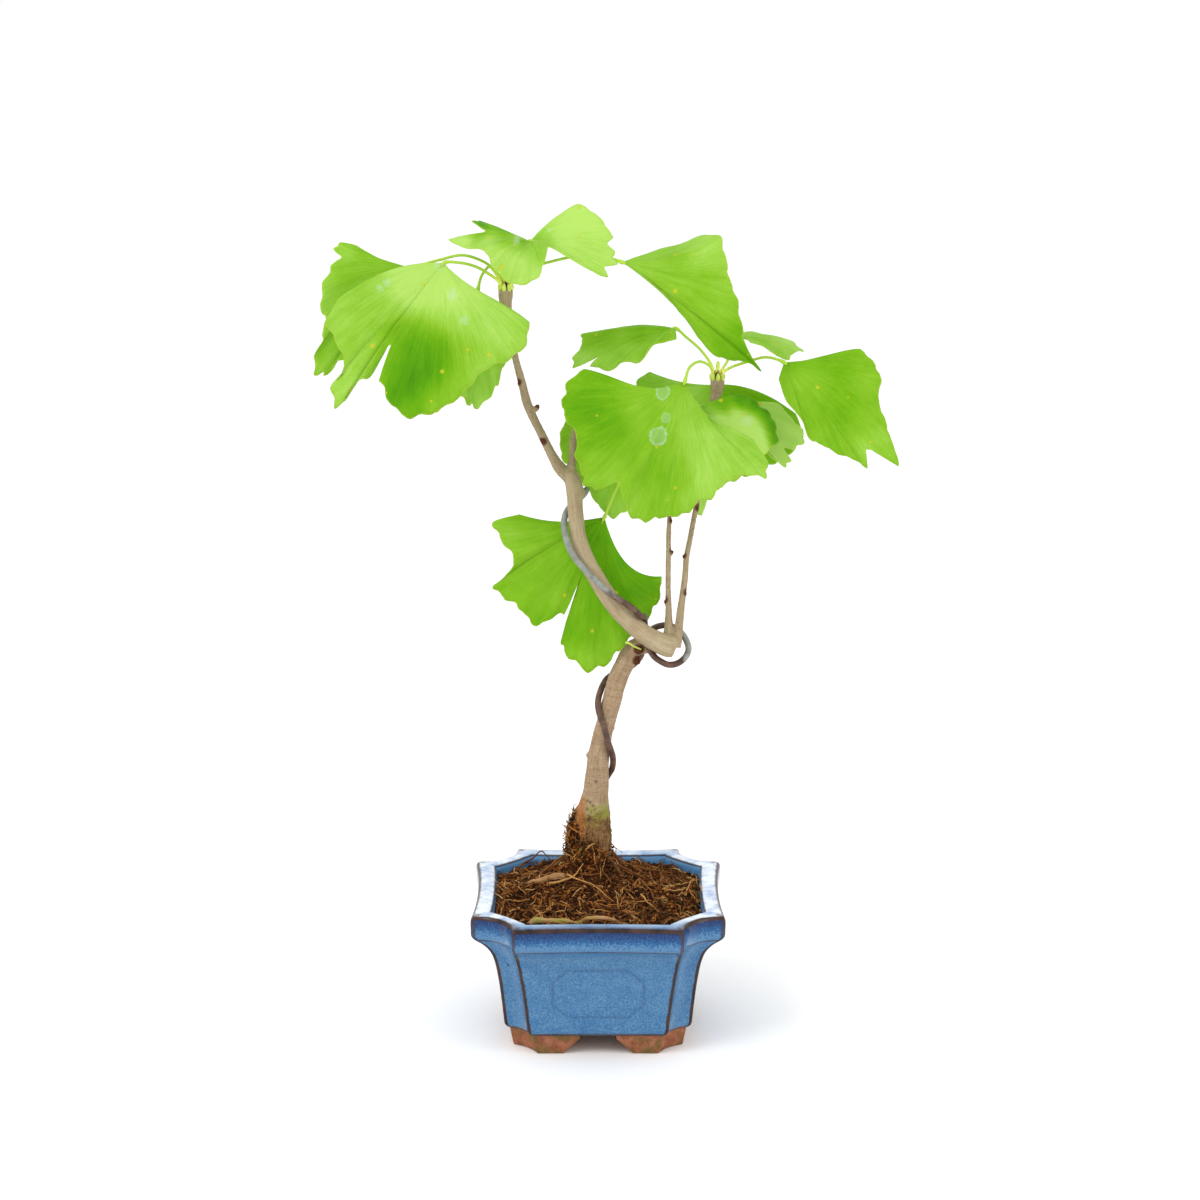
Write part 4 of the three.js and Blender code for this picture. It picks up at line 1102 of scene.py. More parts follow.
# %% Fuse the limbs
VOXEL = 0.53
LIMB_SIDES, GROWTH_SIDES = 20, 12
tubes = [tube(even_line(line, spacing=0.9), LIMB_SIDES) for _, line in limbs]
tubes += [tube(even_line(line, spacing=0.3), GROWTH_SIDES) for line in growth]
rough_tree = make_object("rough_tree", together(tubes))
remesh = rough_tree.modifiers.new("fuse", "REMESH")
remesh.mode, remesh.voxel_size, remesh.adaptivity = "VOXEL", VOXEL * MM, 0.0
melt = rough_tree.modifiers.new("melt", "SMOOTH")
melt.factor, melt.iterations = 0.5, 4
tree_mesh = evaluated_mesh(rough_tree)
bpy.data.objects.remove(rough_tree)
bark_points, bark_normals = mesh_points(tree_mesh), mesh_vectors(tree_mesh, "normal")
print("fused tree:", len(bark_points), "points")

# %% [markdown]
# ## Where a point lies on its limb
# Bark cracks round the old trunk and along the young wood, so its pattern has to follow each limb, not the
# room. For each point the limb with the nearest surface is looked up, and the point's place round and along
# that limb is kept in an attribute that is seamless all the way round.

# %% Places on the limbs
# A row is a limb's kind and number, a point of its line with the radius, two crosswise directions and how
# far along the limb the point lies.
limb_rows = []
for number, (kind, line) in enumerate(limbs):
    rows = even_line(line, spacing=0.5)
    _, u, v = frames_along(rows)
    far = walked(rows)
    limb_rows += [(kind, number, *r, *a, *b, d) for r, a, b, d in zip(rows, u, v, far)]
limb_rows = np.array(limb_rows)


def nearest_rows(points, rows):
    """For each point, the row of the limb whose surface is nearest."""
    found = []
    for some in np.array_split(points, 400):
        gaps = np.linalg.norm(some[:, None] - rows[None, :, 2:5], axis=2) - rows[:, 5]
        found.append(gaps.argmin(1))
    return rows[np.concatenate(found)]


nearest = nearest_rows(bark_points, limb_rows)
LIMB_SHIFT = 200
kind, along = nearest[:, 0], nearest[:, 12] + LIMB_SHIFT * nearest[:, 1]
away = bark_points - nearest[:, 2:5]
limb_place = np.column_stack([(away * nearest[:, 6:9]).sum(1), (away * nearest[:, 9:12]).sum(1), along])
print("points on trunk, branch, twigs, roots:", [int((kind == k).sum()) for k in range(4)])

# %% [markdown]
# ## Bark in relief
# The relief is small: fine rings round the trunk where the young bark has stretched, shallow wrinkles along
# the branch, warts on the twigs, and a rough, crusted foot where the roots leave. Each is smooth noise
# pushed out along the surface normal, with its own size on its own limb.

# %% Bark relief
ring_space = limb_place * (0.5, 0.5, 1.0)
rings_round = noise_at(ring_space, 0.9, 1.0)
grain_along = noise_at(limb_place * (1.0, 1.0, 0.15), 0.8, 2.0)
warts = noise_at(limb_place, 1.3, 3.0)
swells = noise_at(limb_place, 7.0, 4.0)
crust = noise_at(bark_points, 2.6, 5.0) + 0.6 * noise_at(bark_points, 1.1, 6.0)
height = bark_points[:, 2]
foot = smoothstep(110, 103, height + 3 * noise_at(bark_points, 5.0, 7.0)) * (kind != ON_TWIG)
crusted_side = smoothstep(-2, -10, bark_points[:, 0])
trunk_relief = 0.05 * rings_round + 0.08 * grain_along + 0.06 * warts + 0.28 * swells
branch_relief = 0.1 * grain_along + 0.05 * rings_round + 0.18 * swells
twig_relief = 0.1 * warts + 0.06 * grain_along + 0.1 * swells
root_relief = 0.16 * grain_along + 0.16 * warts
relief = np.choose(kind.astype(int), [trunk_relief, branch_relief, twig_relief, root_relief])
crusted = foot * (1 - 0.85 * (kind == ON_ROOT))
crust_relief = (0.6 + crusted_side) * crust + 0.1 + 0.5 * crusted_side
relief = relief * (1 - crusted) + crusted * crust_relief
PIT_DEPTH, PIT_RADIUS, PIT_SHADE_RADIUS = 0.55, 0.6, 0.75
PITS = [
    (-5.2, 111.6), (-3.7, 111.2), (-5.2, 107.8), (-1.5, 108.0), (-3.3, 106.8), (-1.0, 121.3), (-2.4, 109.6),
]
for x, z in PITS:
    pit = np.hypot(bark_points[:, 0] - x, height - z)
    relief -= PIT_DEPTH * np.exp(-((pit / PIT_RADIUS) ** 2)) * (bark_normals[:, 1] < 0)
bark_points = bark_points + bark_normals * relief[:, None]
tree_mesh.vertices.foreach_set("co", in_place(bark_points).ravel())
tree_mesh.update()
print("relief from", relief.min().round(2), "to", relief.max().round(2), "mm")

# %% [markdown]
# ## The bark's finish
# Young ginkgo bark is a pale, warm grey-brown. The trunk carries fine pale and dark rings, the wood above
# is smoother and a little yellower, the twigs are freckled, and the buds are dark red-brown. At the foot the
# bark turns dark and damp, with an orange patch, some green film and brown crust.

# %% Bark material


def bark_material():
    material, graph = new_material("ginkgo_bark")
    place = graph.place()
    on_limb = graph.attribute("limb_place", "Vector")
    kind = graph.attribute("limb_kind")
    foot = graph.attribute("foot")
    round_limb = graph.vector_math("MULTIPLY", on_limb, (0.12, 0.12, 1.5))
    along_limb = graph.vector_math("MULTIPLY", on_limb, (1.4, 1.4, 0.1))
    ringed = graph.noise(round_limb, 1.0, 4.0, 0.7)
    grained = graph.noise(along_limb, 1.0, 4.0, 0.65)
    cloud = graph.noise(place, 150.0, 4.0, 0.6)
    fine = graph.noise(place, 1500.0, 3.0, 0.65)

    streaked = graph.weighted((ringed, 0.35), (fine, 0.3), (grained, 0.35))
    older = graph.ramp(streaked, [(0.36, (118, 92, 68)), (0.48, (158, 134, 106)), (0.62, (182, 160, 132))])
    younger = graph.ramp(grained, [(0.26, (148, 130, 102)), (0.5, (169, 153, 122)), (0.74, (188, 173, 143))])
    wood = graph.mix(graph.band(kind, 0.3, 0.7), older, younger)
    freckled = graph.mask(SPOTS, Vector=on_limb, Spacing=1.3, Size=0.26, Share=0.6)
    on_twig = graph.times(graph.band(kind, 1.4, 1.6), graph.band(kind, 2.4, 2.6, 1.0, 0.0))
    freckles = graph.times(freckled, graph.scaled(on_twig, 0.7, 0.15))
    wood = graph.mix(freckles, wood, rgb(98, 76, 52))
    wood = graph.tinted(wood, on_twig, 0.3, (132, 114, 88))
    shade = graph.band(cloud, 0.3, 0.7, 0.0, 0.3)
    wood = graph.mix(shade, wood, rgb(138, 110, 80))
    # Painted shade: the dented pits are drawn dark, as if in shade.
    wood = graph.mix(graph.attribute("pits"), wood, rgb(70, 48, 34))

    root_wood = graph.ramp(grained, [(0.3, (58, 34, 16)), (0.52, (112, 74, 40)), (0.7, (158, 116, 72))])
    pale_wood = graph.ramp(grained, [(0.3, (128, 88, 54)), (0.55, (180, 136, 92)), (0.7, (212, 174, 130))])
    root_wood = graph.mix(graph.attribute("scraped"), root_wood, pale_wood)
    wood = graph.mix(graph.band(kind, 2.4, 2.6), wood, root_wood)
    damp = graph.ramp(graph.weighted((cloud, 0.3), (grained, 0.35), (fine, 0.35)), [
        (0.36, (38, 22, 10)), (0.46, (96, 66, 36)), (0.56, (136, 104, 68)), (0.68, (168, 140, 102)),
    ])
    wet = graph.ramp(graph.weighted((fine, 0.5), (cloud, 0.5)), [
        (0.36, (22, 11, 5)), (0.52, (66, 36, 16)), (0.66, (124, 78, 42)),
    ])
    flecks = graph.mask(SPOTS, Vector=place, Spacing=0.0024, Size=0.26, Share=0.5)
    damp = graph.tinted(damp, flecks, 0.55, (62, 42, 24))
    damp = graph.mix(graph.attribute("collar"), damp, wet)
    on_foot = graph.times(graph.band(foot, 0.2, 0.8), graph.band(kind, 2.4, 2.6, 1.0, 0.1))
    wood = graph.mix(on_foot, wood, damp)
    rust = graph.ramp(fine, [(0.38, (118, 62, 24)), (0.62, (188, 122, 62))])
    wood = graph.mix(graph.times(graph.attribute("orange"), 0.7), wood, rust)
    film = graph.mask(MOSS, Vector=place, Amount=0.75)
    green = graph.times(film, graph.attribute("green"))
    wood = graph.tinted(wood, green, 0.75, (140, 142, 62))
    bud = graph.ramp(fine, [(0.35, (58, 30, 18)), (0.65, (104, 62, 36))])
    wood = graph.mix(graph.attribute("bud"), wood, bud)

    lines = graph.mix(graph.band(kind, 0.3, 0.7), ringed, grained)
    relief = graph.scaled(fine, 0.35, lines)
    rough = graph.band(cloud, 0.3, 0.7, 0.72, 0.86)
    output(graph, principled(graph, wood, rough, relief, 0.0003, **DULL))
    return material


def near(points, spots, reach):
    """1 at any of the spots, falling to 0 at the reach."""
    gaps = np.stack([np.linalg.norm(points - np.array(spot), axis=1) for spot in spots])
    return smoothstep(reach, reach * 0.55, gaps.min(0))


tree_mesh.name = "ginkgo_tree"
tree_mesh.materials.append(bark_material())
tree_mesh.polygons.foreach_set("use_smooth", [True] * len(tree_mesh.polygons))
tree = in_scene("ginkgo_tree", tree_mesh)
bark_x, bark_y, bark_z = bark_points.T
# height is where a point was before the relief, and the ragged edge keeps the patches from looking ruled.
ragged = 2.5 * noise_at(bark_points, 4.0, 8.0)
rust_side = smoothstep(-5.8, -7.0, bark_x + 0.5 * ragged) * smoothstep(-10.8, -9.4, bark_x)
rust_height = smoothstep(93, 97, height + ragged) * smoothstep(114, 109, height + ragged)
above_foot = smoothstep(99, 103, height + ragged) * smoothstep(113, 108, height + ragged)
low_left = smoothstep(84, 88, height) * smoothstep(95, 90, height) * smoothstep(-5, -9, bark_x)
on_root, at_front = kind == ON_ROOT, smoothstep(-36, -41, bark_y)
front_root = on_root * at_front * smoothstep(10, -20, bark_x + 2 * ragged)
green_film = above_foot * smoothstep(-8, -4, bark_x) + low_left + front_root
from_tan_root = np.linalg.norm((bark_points - (-25, 0, 74)) * (1, 1, 0.4), axis=1)
pit_shade = np.zeros(len(bark_points))
for x, z in PITS:
    pit = np.hypot(bark_x - x, height - z)
    pit_shade = np.maximum(pit_shade, np.exp(-((pit / PIT_SHADE_RADIUS) ** 2)))
bud_spots = [end for _, end, _ in SIDE_BUDS] + [(x, y, z + 2.6) for x, y, z in END_BUDS]
dark_knots = [(19.3, 4.6, 186.4), (18.8, 6.4, 180.4)]
left_edge, bare_side = smoothstep(-8.5, -11.5, bark_x), smoothstep(-1, 5, bark_x)
low = smoothstep(96, 84, bark_z + ragged - 5 * crusted_side - 7 * left_edge + 7 * bare_side)
bark_masks = {
    "limb_kind": kind,
    "foot": foot,
    "orange": rust_side * rust_height * (kind == ON_TRUNK),
    "green": np.clip(green_film, 0, 1),
    "scraped": on_root * np.maximum(smoothstep(11, 9, from_tan_root), at_front),
    "pits": pit_shade * (bark_normals[:, 1] < 0) * 0.8,
    "bud": np.maximum(near(bark_points, bud_spots, 2.6), near(bark_points, dark_knots, 3.4)),
    "collar": low * (kind == ON_TRUNK) * (bark_z > 78),
}
for name, values in bark_masks.items():
    set_attribute(tree, name, values)
set_attribute(tree, "limb_place", limb_place, "FLOAT_VECTOR")
show(tree, ["tree"])

# %% [markdown]
# ## Crust and stray rootlets at the trunk's foot
# Where the trunk meets the soil it wears a collar of crumbs and fibres, left from the earth that once
# covered it. The same two scatter trees make it, on the collar of bark that lies low.

# %% Foot of the trunk
scatter(
    "foot_crust", "bark", CRUMBS, tree, mask="collar", density=1700000.0, lift=0.0007, size=0.00062,
    seed=21, finish=CRUMB_FINISH,
)
scatter(
    "foot_rootlets", "bark", FIBRES, tree, mask="collar", density=260000.0, lift=0.0015, size=0.0003,
    length=0.009, wander=0.008, tilt=0.5, seed=25, finish=FIBRE_FINISH,
)

# %% [markdown]
# ## Rootlets worth placing one by one
# A few rootlets are long enough to be noticed one by one: an upright one before the trunk, an arch at the
# back left, and some orange ones on the right. Each is a thin limb through a few points on the soil.

# %% Placed rootlets
PLACED_ROOTLETS = [
    ([(-40, 30, 1), (-37, 33, 4), (-32, 34, 8), (-28, 35, 10), (-25, 37, 7), (-23, 38, 3),
      (-22, 37, 0)], 0.45),
    ([(-4.9, 0, 1), (-4.8, -0.4, 4), (-4.4, -0.6, 8), (-4, -0.8, 12)], 0.5),
    ([(-15, -4, 2.8), (-11, -8, 3), (-7, -10, 2.8), (-1, -13, 3), (4, -18, 2.6), (8, -22, 1.4)], 0.42),
    ([(-7, -10, 2.2), (-3, -13, 2.8), (1, -18, 2.4), (5, -24, 1.4)], 0.36),
    ([(20, 4, 2.6), (22, -3, 3), (26, -12, 2.8), (28, -20, 1.6)], 0.4),
    ([(20.5, -14, 3), (24, -20, 2.8), (29, -28, 1.6)], 0.42),
    ([(-26, -26, 2), (-22, -30, 2.6), (-20, -37, 1.4), (-19, -41, 1)], 0.4),
    ([(-30, 8, 2), (-22, 14, 3.4), (-16, 15, 5), (-11, 12, 6)], 0.7),
    ([(-24, -2, 1), (-17, -7, 3), (-11, -6, 4), (-7, -3, 5)], 0.6),
    ([(10, 2, 5), (17, 6, 2.4), (26, 8, 1.6), (34, 4, 2.4), (40, 6, 1)], 0.55),
    ([(8, 20, 3), (16, 26, 2.6), (26, 29, 1.8), (36, 27, 1.6)], 0.6),
    ([(42, -8, 1), (44, -2, 4), (46, 2, 6)], 0.3),
    ([(38, 12, 1), (42, 16, 5), (46, 17, 7)], 0.3),
    ([(-18, 26, 2), (-12, 30, 4), (-4, 33, 3), (6, 36, 2.2)], 0.5),
]


def rootlet_line(plan, radius):
    """A line over the soil through a plan of x, y and lift, thinner to its end and a little crooked."""
    rows = []
    for share, (x, y, lift) in zip(np.linspace(0, 1, len(plan)), plan):
        rows.append((x, y, soil_height(x, y) + lift, radius * (1.1 - 0.8 * share)))
    line = even_line(rows, spacing=1.0)
    line[:, 0] += 0.9 * noise_at(line[:, :3], 5.0, radius * 90)
    line[:, 1] += 0.9 * noise_at(line[:, :3], 5.0, radius * 90 + 7)
    return line


ROOTLET_SIDES = 8
ROOTLET_TONES = (0.55, 0.75, 0.95)
rootlet_tubes = [tube(rootlet_line(plan, radius), ROOTLET_SIDES) for plan, radius in PLACED_ROOTLETS]
placed = make_object("placed_rootlets", together(rootlet_tubes), [FIBRE_FINISH])
tones = [np.full(len(points), ROOTLET_TONES[i % 3]) for i, (points, _) in enumerate(rootlet_tubes)]
set_attribute(placed, "tone", np.concatenate(tones))
show(placed)

# %% [markdown]
# ## The training wire
# The wire rises behind the trunk, crosses it, swings round the cut end of the branch in an open loop, and
# climbs the branch in a long coil. Wherever its route would cut into the bark it is moved straight out of
# the limb. Low down its coat is still brown, and on the branch it has weathered to grey.

# %% Wire
WIRE_RADIUS = 1.5
WIRE_CLEARANCE = 0.4
WIRE_POINTS = 91
WIRE_SIDES = 18
WIRE_ROUTE = [
    (1, 26, 62), (1, 23, 74), (1, 21.5, 88), (0.6, 20.5, 101), (1.4, 18.6, 112), (3.8, 15, 119.5),
    (6.4, 9.8, 127.5), (5.4, 5.2, 136.5), (4.2, 3.2, 143), (3.1, 3, 148), (1.2, 4.5, 153.5),
    (0.2, 8, 159), (1.5, 13, 164.6), (4.6, 17, 169), (10.5, 18, 172), (16.2, 17.5, 175), (20.4, 17, 180),
    (22, 17.5, 187), (24.5, 15.5, 192.5), (29, 12, 196), (34, 9, 197), (39, 6, 194.7), (41.8, 3.4, 191),
    (42.6, 0.6, 186.8), (39.5, -1, 182.6), (34.4, -2, 180.8), (29.6, -1.6, 182.4), (26, 0, 185),
    (24.2, 2.2, 189), (23, 2.2, 194.5), (21.8, -1.4, 200.4), (19.6, -7.5, 206.4), (15.2, -11, 211.4),
    (9.8, -11.6, 215.3), (3.8, -11.6, 219.7), (-1.5, -11.4, 224.6), (-6.6, -11.2, 230),
    (-10.9, -10.8, 235.2), (-13.8, -9.6, 240.6), (-15.4, -7.4, 246.2), (-15.8, -4, 251),
    (-14.4, -0.4, 255.2), (-10.3, 1.4, 259), (-6.6, 0, 263), (-5.2, -2, 266),
]


def pushed_clear(route, limbs_to_clear):
    """The route with each point that lies too near a limb moved straight out of it."""
    clear = route.copy()
    for _ in range(4):
        for line in limbs_to_clear:
            at = np.linspace(0, len(line) - 1, 81)
            centres = spline(line[:, :3], at)
            wanted = np.interp(at, range(len(line)), line[:, 3]) + WIRE_RADIUS + WIRE_CLEARANCE
            for centre, distance in zip(centres, wanted):
                away = clear - centre
                gap = np.linalg.norm(away, axis=1)
                close = gap < distance
                clear[close] = centre + away[close] * (distance / gap[close])[:, None]
    return clear


def wire_material():
    material, graph = new_material("weathered_wire")
    place = graph.place()
    cloud = graph.noise(place, 260.0, 4.0, 0.6)
    scuffs = graph.noise(place, 1600.0, 3.0, 0.7)
    stained = graph.ramp(cloud, [(0.3, (62, 40, 30)), (0.5, (84, 58, 44)), (0.7, (112, 84, 62))])
    grey = graph.ramp(cloud, [(0.3, (112, 112, 102)), (0.5, (134, 136, 130)), (0.7, (152, 154, 148))])
    weathered = graph.plus(graph.attribute("greyed"), graph.scaled(cloud, 0.6, -0.3))
    colour = graph.mix(graph.band(weathered, 0.25, 0.75), stained, grey)
    marks = graph.mask(SPOTS, Vector=place, Spacing=0.0045, Size=0.14, Share=0.25)
    colour = graph.tinted(colour, marks, 0.5, (84, 62, 48))
    rough = graph.band(scuffs, 0.3, 0.7, 0.4, 0.6)
    output(graph, principled(graph, colour, rough, scuffs, 0.0001, Metallic=0.1))
    return material


wire_limbs = [line for limb_kind, line in limbs if limb_kind != ON_ROOT]
wire_path = pushed_clear(even_line(WIRE_ROUTE, count=WIRE_POINTS), wire_limbs)
wire_line = even_line(wire_path, spacing=0.6)
wire_line = np.column_stack([wire_line, np.full(len(wire_line), WIRE_RADIUS)])
wire_line[[0, -1], 3] *= 0.85
wire = make_object("training_wire", tube(wire_line, WIRE_SIDES), [wire_material()])
wire_x, _, wire_z = mesh_points(wire.data).T
greyed = np.maximum(smoothstep(208, 228, wire_z), 0.9 * smoothstep(38, 42, wire_x))
set_attribute(wire, "greyed", greyed)
show(wire, ["wire"])
print("wire length:", round(walked(wire_line)[-1]), "mm")

# %% [markdown]
# ## Fourteen leaves
# A ginkgo leaf is a fan on a long stalk. Its veins leave the join of stalk and blade and fork again and
# again, so every rib of the mesh starts there too. Each leaf is given by the crests of its wavy margin, the
# splits between its lobes, and how far the ribs bow. The surface between is one closed, thin sheet.

# %% Leaf table
# spur: the spur that the leaf grows on, and turn: where its stalk stands round the bud, in degrees.
# depth: the depth of the notches between crests, as a share of the reach.
# stalk, join and tips: the stalk's route, the join of stalk and blade, and the crests of the margin.
# splits: a place counted in crests and an apex, whose distance from the join is the reach left there.
# neck: how many millimetres the first and the last ribs are drawn in near the join.
# arch: how far the ribs bow, at even steps across the fan.
LEAVES = [dict(
    name="leaf_left_front", spur="left", turn=205, depth=0.02,
    stalk=[(-51, -10, 369), (-56, -12, 372), (-63, -14, 374)], join=(-70, -15, 374),
    tips=[
        (-120, -28, 360), (-123, -31, 349), (-118, -32, 340), (-115, -33, 330), (-121, -36, 321),
        (-119, -38, 311), (-113, -35.4, 318), (-106, -32.8, 325), (-99, -32.2, 324), (-95, -34.6, 315),
        (-86, -37, 307), (-75, -36, 309), (-64, -34, 315), (-57, -33, 322), (-50, -32, 329),
        (-41, -31, 332), (-33, -29, 338), (-28, -25, 347),
    ],
    splits=[[7.5, (-96, -28, 343)]],
    neck=(0, 3),
    arch=[(0, -3, 5), (0, -6, 1.5), (0, -8, 3), (0, -6, 4), (0, -3, 2)],
), dict(
    name="leaf_left_back", spur="left", turn=155, depth=0.03,
    stalk=[(-49, -7, 371), (-54, -6, 374), (-62, -5, 376), (-72, -5, 374)], join=(-85, -5, 370),
    tips=[
        (-112, -4, 381), (-118, -5, 382), (-121, -6, 379), (-122, -8, 372), (-126, -10, 364),
        (-127, -12, 353), (-126, -14, 342), (-130, -15, 331), (-130, -16, 322), (-125, -16, 322),
        (-119, -16, 329), (-113, -16, 324), (-106, -16, 320), (-96, -14, 334),
    ],
    splits=[[2.5, (-117, -7, 373)]],
    arch=[(0, 0, -2), (0, 0, 4), (0, 2, 2)],
), dict(
    name="leaf_left_hanging", spur="left", turn=105, depth=0.03,
    stalk=[(-49, -5, 371), (-53, -5, 367)], join=(-55, -5, 360),
    tips=[
        (-83, -10, 321), (-80, -11, 311), (-75, -12, 304), (-64, -12, 311), (-60, -12, 307),
        (-56, -12, 305), (-49, -12, 311), (-46, -8, 316), (-42, -4, 326), (-39, 0, 335),
    ],
    arch=[(0, 2, 2), (0, 5, 2), (0, 2, 2)],
), dict(
    name="leaf_crown", spur="left", turn=50, depth=0.03,
    stalk=[(-42, -6, 367), (-39, 0, 374)], join=(-31, -2, 382),
    tips=[
        (-56, 12, 391), (-58, 4, 390), (-68, -13, 385), (-59, -19, 381), (-51, -23, 381),
        (-48, -26, 374), (-41, -28, 368), (-33, -28, 366), (-27, -26, 370), (-24, -22, 376),
        (-14, -8, 377), (-4, -6, 369), (5, -5, 366), (9, -2, 371), (8, 0, 377), (7, 2, 383),
        (1, 5, 392), (-8, 8, 397), (-15, 9, 395),
    ],
    splits=[[1.5, (-49, 2, 387)], [9.5, (-24, -12, 379)], [12.5, (3, -4, 371)], [14.5, (4, 1, 381)]],
    arch=[(0, 0, 0), (0, -2, 3), (0, -3, 3), (0, 0, 2), (0, 0, 1)],
), dict(
    name="leaf_long_stalk", spur="left", turn=335, depth=0.015,
    stalk=[(-38, -6, 366), (-32, 1, 369), (-24, 4, 371), (-10, 4, 374), (3, 2, 374)], join=(11, 0, 372),
    tips=[
        (48, -11, 337), (54, -13, 331), (61, -14, 329), (69, -15, 328), (75, -16, 324), (69, -14, 334),
        (66, -14, 345), (64, -12, 357), (61, -10, 364), (59, -8, 374), (56, -3, 385), (50, 5, 383),
        (42, 12, 380),
    ],
    arch=[(0, -3, 5), (0, -3, 3.5), (0, -4, 2.5), (0, -4, 1), (0, -3, -4), (0, 5, 0)],
), dict(
    name="leaf_centre_front", spur="right", turn=205, depth=0.022,
    stalk=[(52, 8, 322), (47, 4, 325), (42, -2, 323)], join=(40, -4, 317),
    tips=[
        (-10, -14, 326), (-15, -17, 319), (-17, -20, 311), (-15, -22, 303), (-10, -23, 295),
        (-11, -24, 287), (-8, -25, 279), (-7, -26, 273), (-1, -27, 271), (11, -28, 267), (15, -28, 258),
        (22, -28, 256), (29, -28, 258), (36, -28, 259), (42, -28, 261), (52, -27, 267), (56, -27, 273),
        (63, -26, 277), (70, -25, 278), (77, -24, 276), (78, -23, 283), (74, -21, 292),
    ],
    splits=[[8.5, (8, -26, 277)], [14.5, (46, -27, 268)]],
    arch=[(0, -3, 0), (0, -6, 1), (0, -6, 1), (0, -4, -1)],
    neck=(5, 5),
), dict(
    name="leaf_centre_arched", spur="right", turn=155, depth=0.03,
    stalk=[(53, 14, 321), (48, 16, 328), (41, 18, 334)], join=(36, 18, 338),
    tips=[
        (1, 36, 334), (-8, 26, 333), (-8, 21, 330), (-12, 17, 324), (-12, 14, 320), (-4, 11, 321),
        (4, 8, 320), (11, 5, 324), (18, 2, 325), (24, 2, 331), (30, 4, 334), (36, 8, 334),
    ],
    splits=[[4.5, (0, 14, 329)]],
    arch=[(0, 0, 2), (0, 0, 3), (0, 0, 1)],
), dict(
    name="leaf_right_back", spur="right", turn=50, depth=0.04,
    stalk=[(58, 16, 319), (61, 22, 323)], join=(63, 32, 331),
    tips=[
        (77, 54, 328), (86, 52, 327), (92, 48, 326), (98, 42, 323), (94, 38, 323), (90, 34, 320),
        (84, 31, 322), (79, 29, 327), (72, 28, 329),
    ],
    splits=[[5.5, (86, 33, 325)]],
    arch=[(0, 0, 2), (0, 0, 3), (0, 0, 2)],
), dict(
    name="leaf_right_end", spur="right", turn=340, depth=0.018,
    stalk=[(59, 12, 319), (62, 11, 321), (69, 8, 324), (78, 4, 327)], join=(86, 2, 325),
    tips=[
        (124, 8, 330), (128, 5, 325), (131, 2, 317), (130, -2, 308), (133, -4, 299), (136, -6, 290),
        (139, -8, 278), (125, -8, 277), (119, -8, 281), (111, -8, 284), (104, -8, 288), (98, -8, 291),
        (93, -7, 301), (87, -5, 308), (83, -2, 317),
    ],
    splits=[[6.5, (127, -7, 289)]],
    neck=(3, 0),
    arch=[(0, 0, 2), (0, -4, 4), (0, -3, 2), (0, 0, 0)],
), dict(
    name="leaf_right_behind", spur="right", turn=105, depth=0.025,
    stalk=[(56, 15, 320), (56, 18, 322)], join=(55, 20, 311),
    tips=[
        (22, 26, 316), (18, 26, 311), (20, 24, 293), (24, 23, 281), (30, 22, 269), (39, 20, 257),
        (49, 18, 248), (58, 18, 261), (65, 19, 264), (71, 20, 266), (77, 21, 268), (84, 22, 272),
        (92, 24, 277), (97, 26, 283), (96, 28, 294),
    ],
    splits=[[6.5, (54, 18, 266)]],
    arch=[(0, 2, -2), (0, 4, 0), (0, 2, 4)],
), dict(
    name="leaf_middle_curled", spur="middle", turn=350, depth=0.03,
    stalk=[(39, 3, 299), (40, 1, 303)], join=(44, 0, 302),
    tips=[
        (60, 6, 307), (68, 6, 309), (74, 5, 307), (79, 4, 302), (83, 2, 295), (84, 0, 288),
        (77, -5, 283), (68, -8, 280), (54, -10, 284),
    ],
    arch=[(0, -3, 2), (0, -6, 4), (0, -3, 0)],
), dict(
    name="leaf_middle_forked", spur="middle", turn=60, depth=0.03,
    stalk=[(38, 6, 300), (46, 12, 302), (54, 15, 302)], join=(61, 13, 300),
    tips=[
        (78, 16, 304), (85, 16, 302), (91, 16, 296), (96, 15, 290), (97, 14, 284), (92, 13, 281),
        (91, 12, 276), (88, 12, 273), (83, 12, 277), (76, 10, 285),
    ],
    splits=[[5.5, (88, 13, 284)]],
    arch=[(0, 0, 2), (0, -1, 2), (0, 0, 0)],
), dict(
    name="leaf_low", spur="stub", turn=340, depth=0.022,
    stalk=[(-3, 2, 303), (5, 0, 293), (10, 0, 279), (10, 1, 269), (7, 3, 261)], join=(3, 4, 251),
    tips=[
        (-40, 4, 252), (-50, 2, 248), (-45, 2, 238), (-40, 2, 229), (-44, 2, 222), (-50, 2, 217),
        (-44, 1, 211), (-37, 1, 206), (-30, 1, 198), (-23, 1, 201), (-16, 2, 203), (-18, 3, 190),
        (-15, 3, 183), (-5, 4, 175), (4, 5, 178), (12, 5, 187), (18, 5, 194), (24, 6, 201), (29, 7, 209),
        (32, 8, 219),
    ],
    splits=[[10.5, (-9, 3, 222)]],
    arch=[(0, 2, -3), (0, 4, 1), (0, 4, 1), (-1, 2, -2), (-3, 1, -8)],
), dict(
    name="leaf_stub_back", spur="stub", turn=60, depth=0.03,
    stalk=[(-5, 5, 302), (0, 7, 298)], join=(3, 7, 291),
    tips=[
        (-11, 9, 302), (-15, 9, 296), (-18, 9, 290), (-18, 9, 284), (-17, 8, 277), (-12, 8, 271),
        (-7, 8, 265), (-2, 8, 258), (2, 8, 253), (7, 8, 249), (14, 8, 253), (21, 8, 264),
    ],
    arch=[(0, 1, 1), (0, 2, 0), (0, 1, 0)],
)]
print("leaves:", len(LEAVES), "with", sum(len(leaf["tips"]) for leaf in LEAVES), "crests")

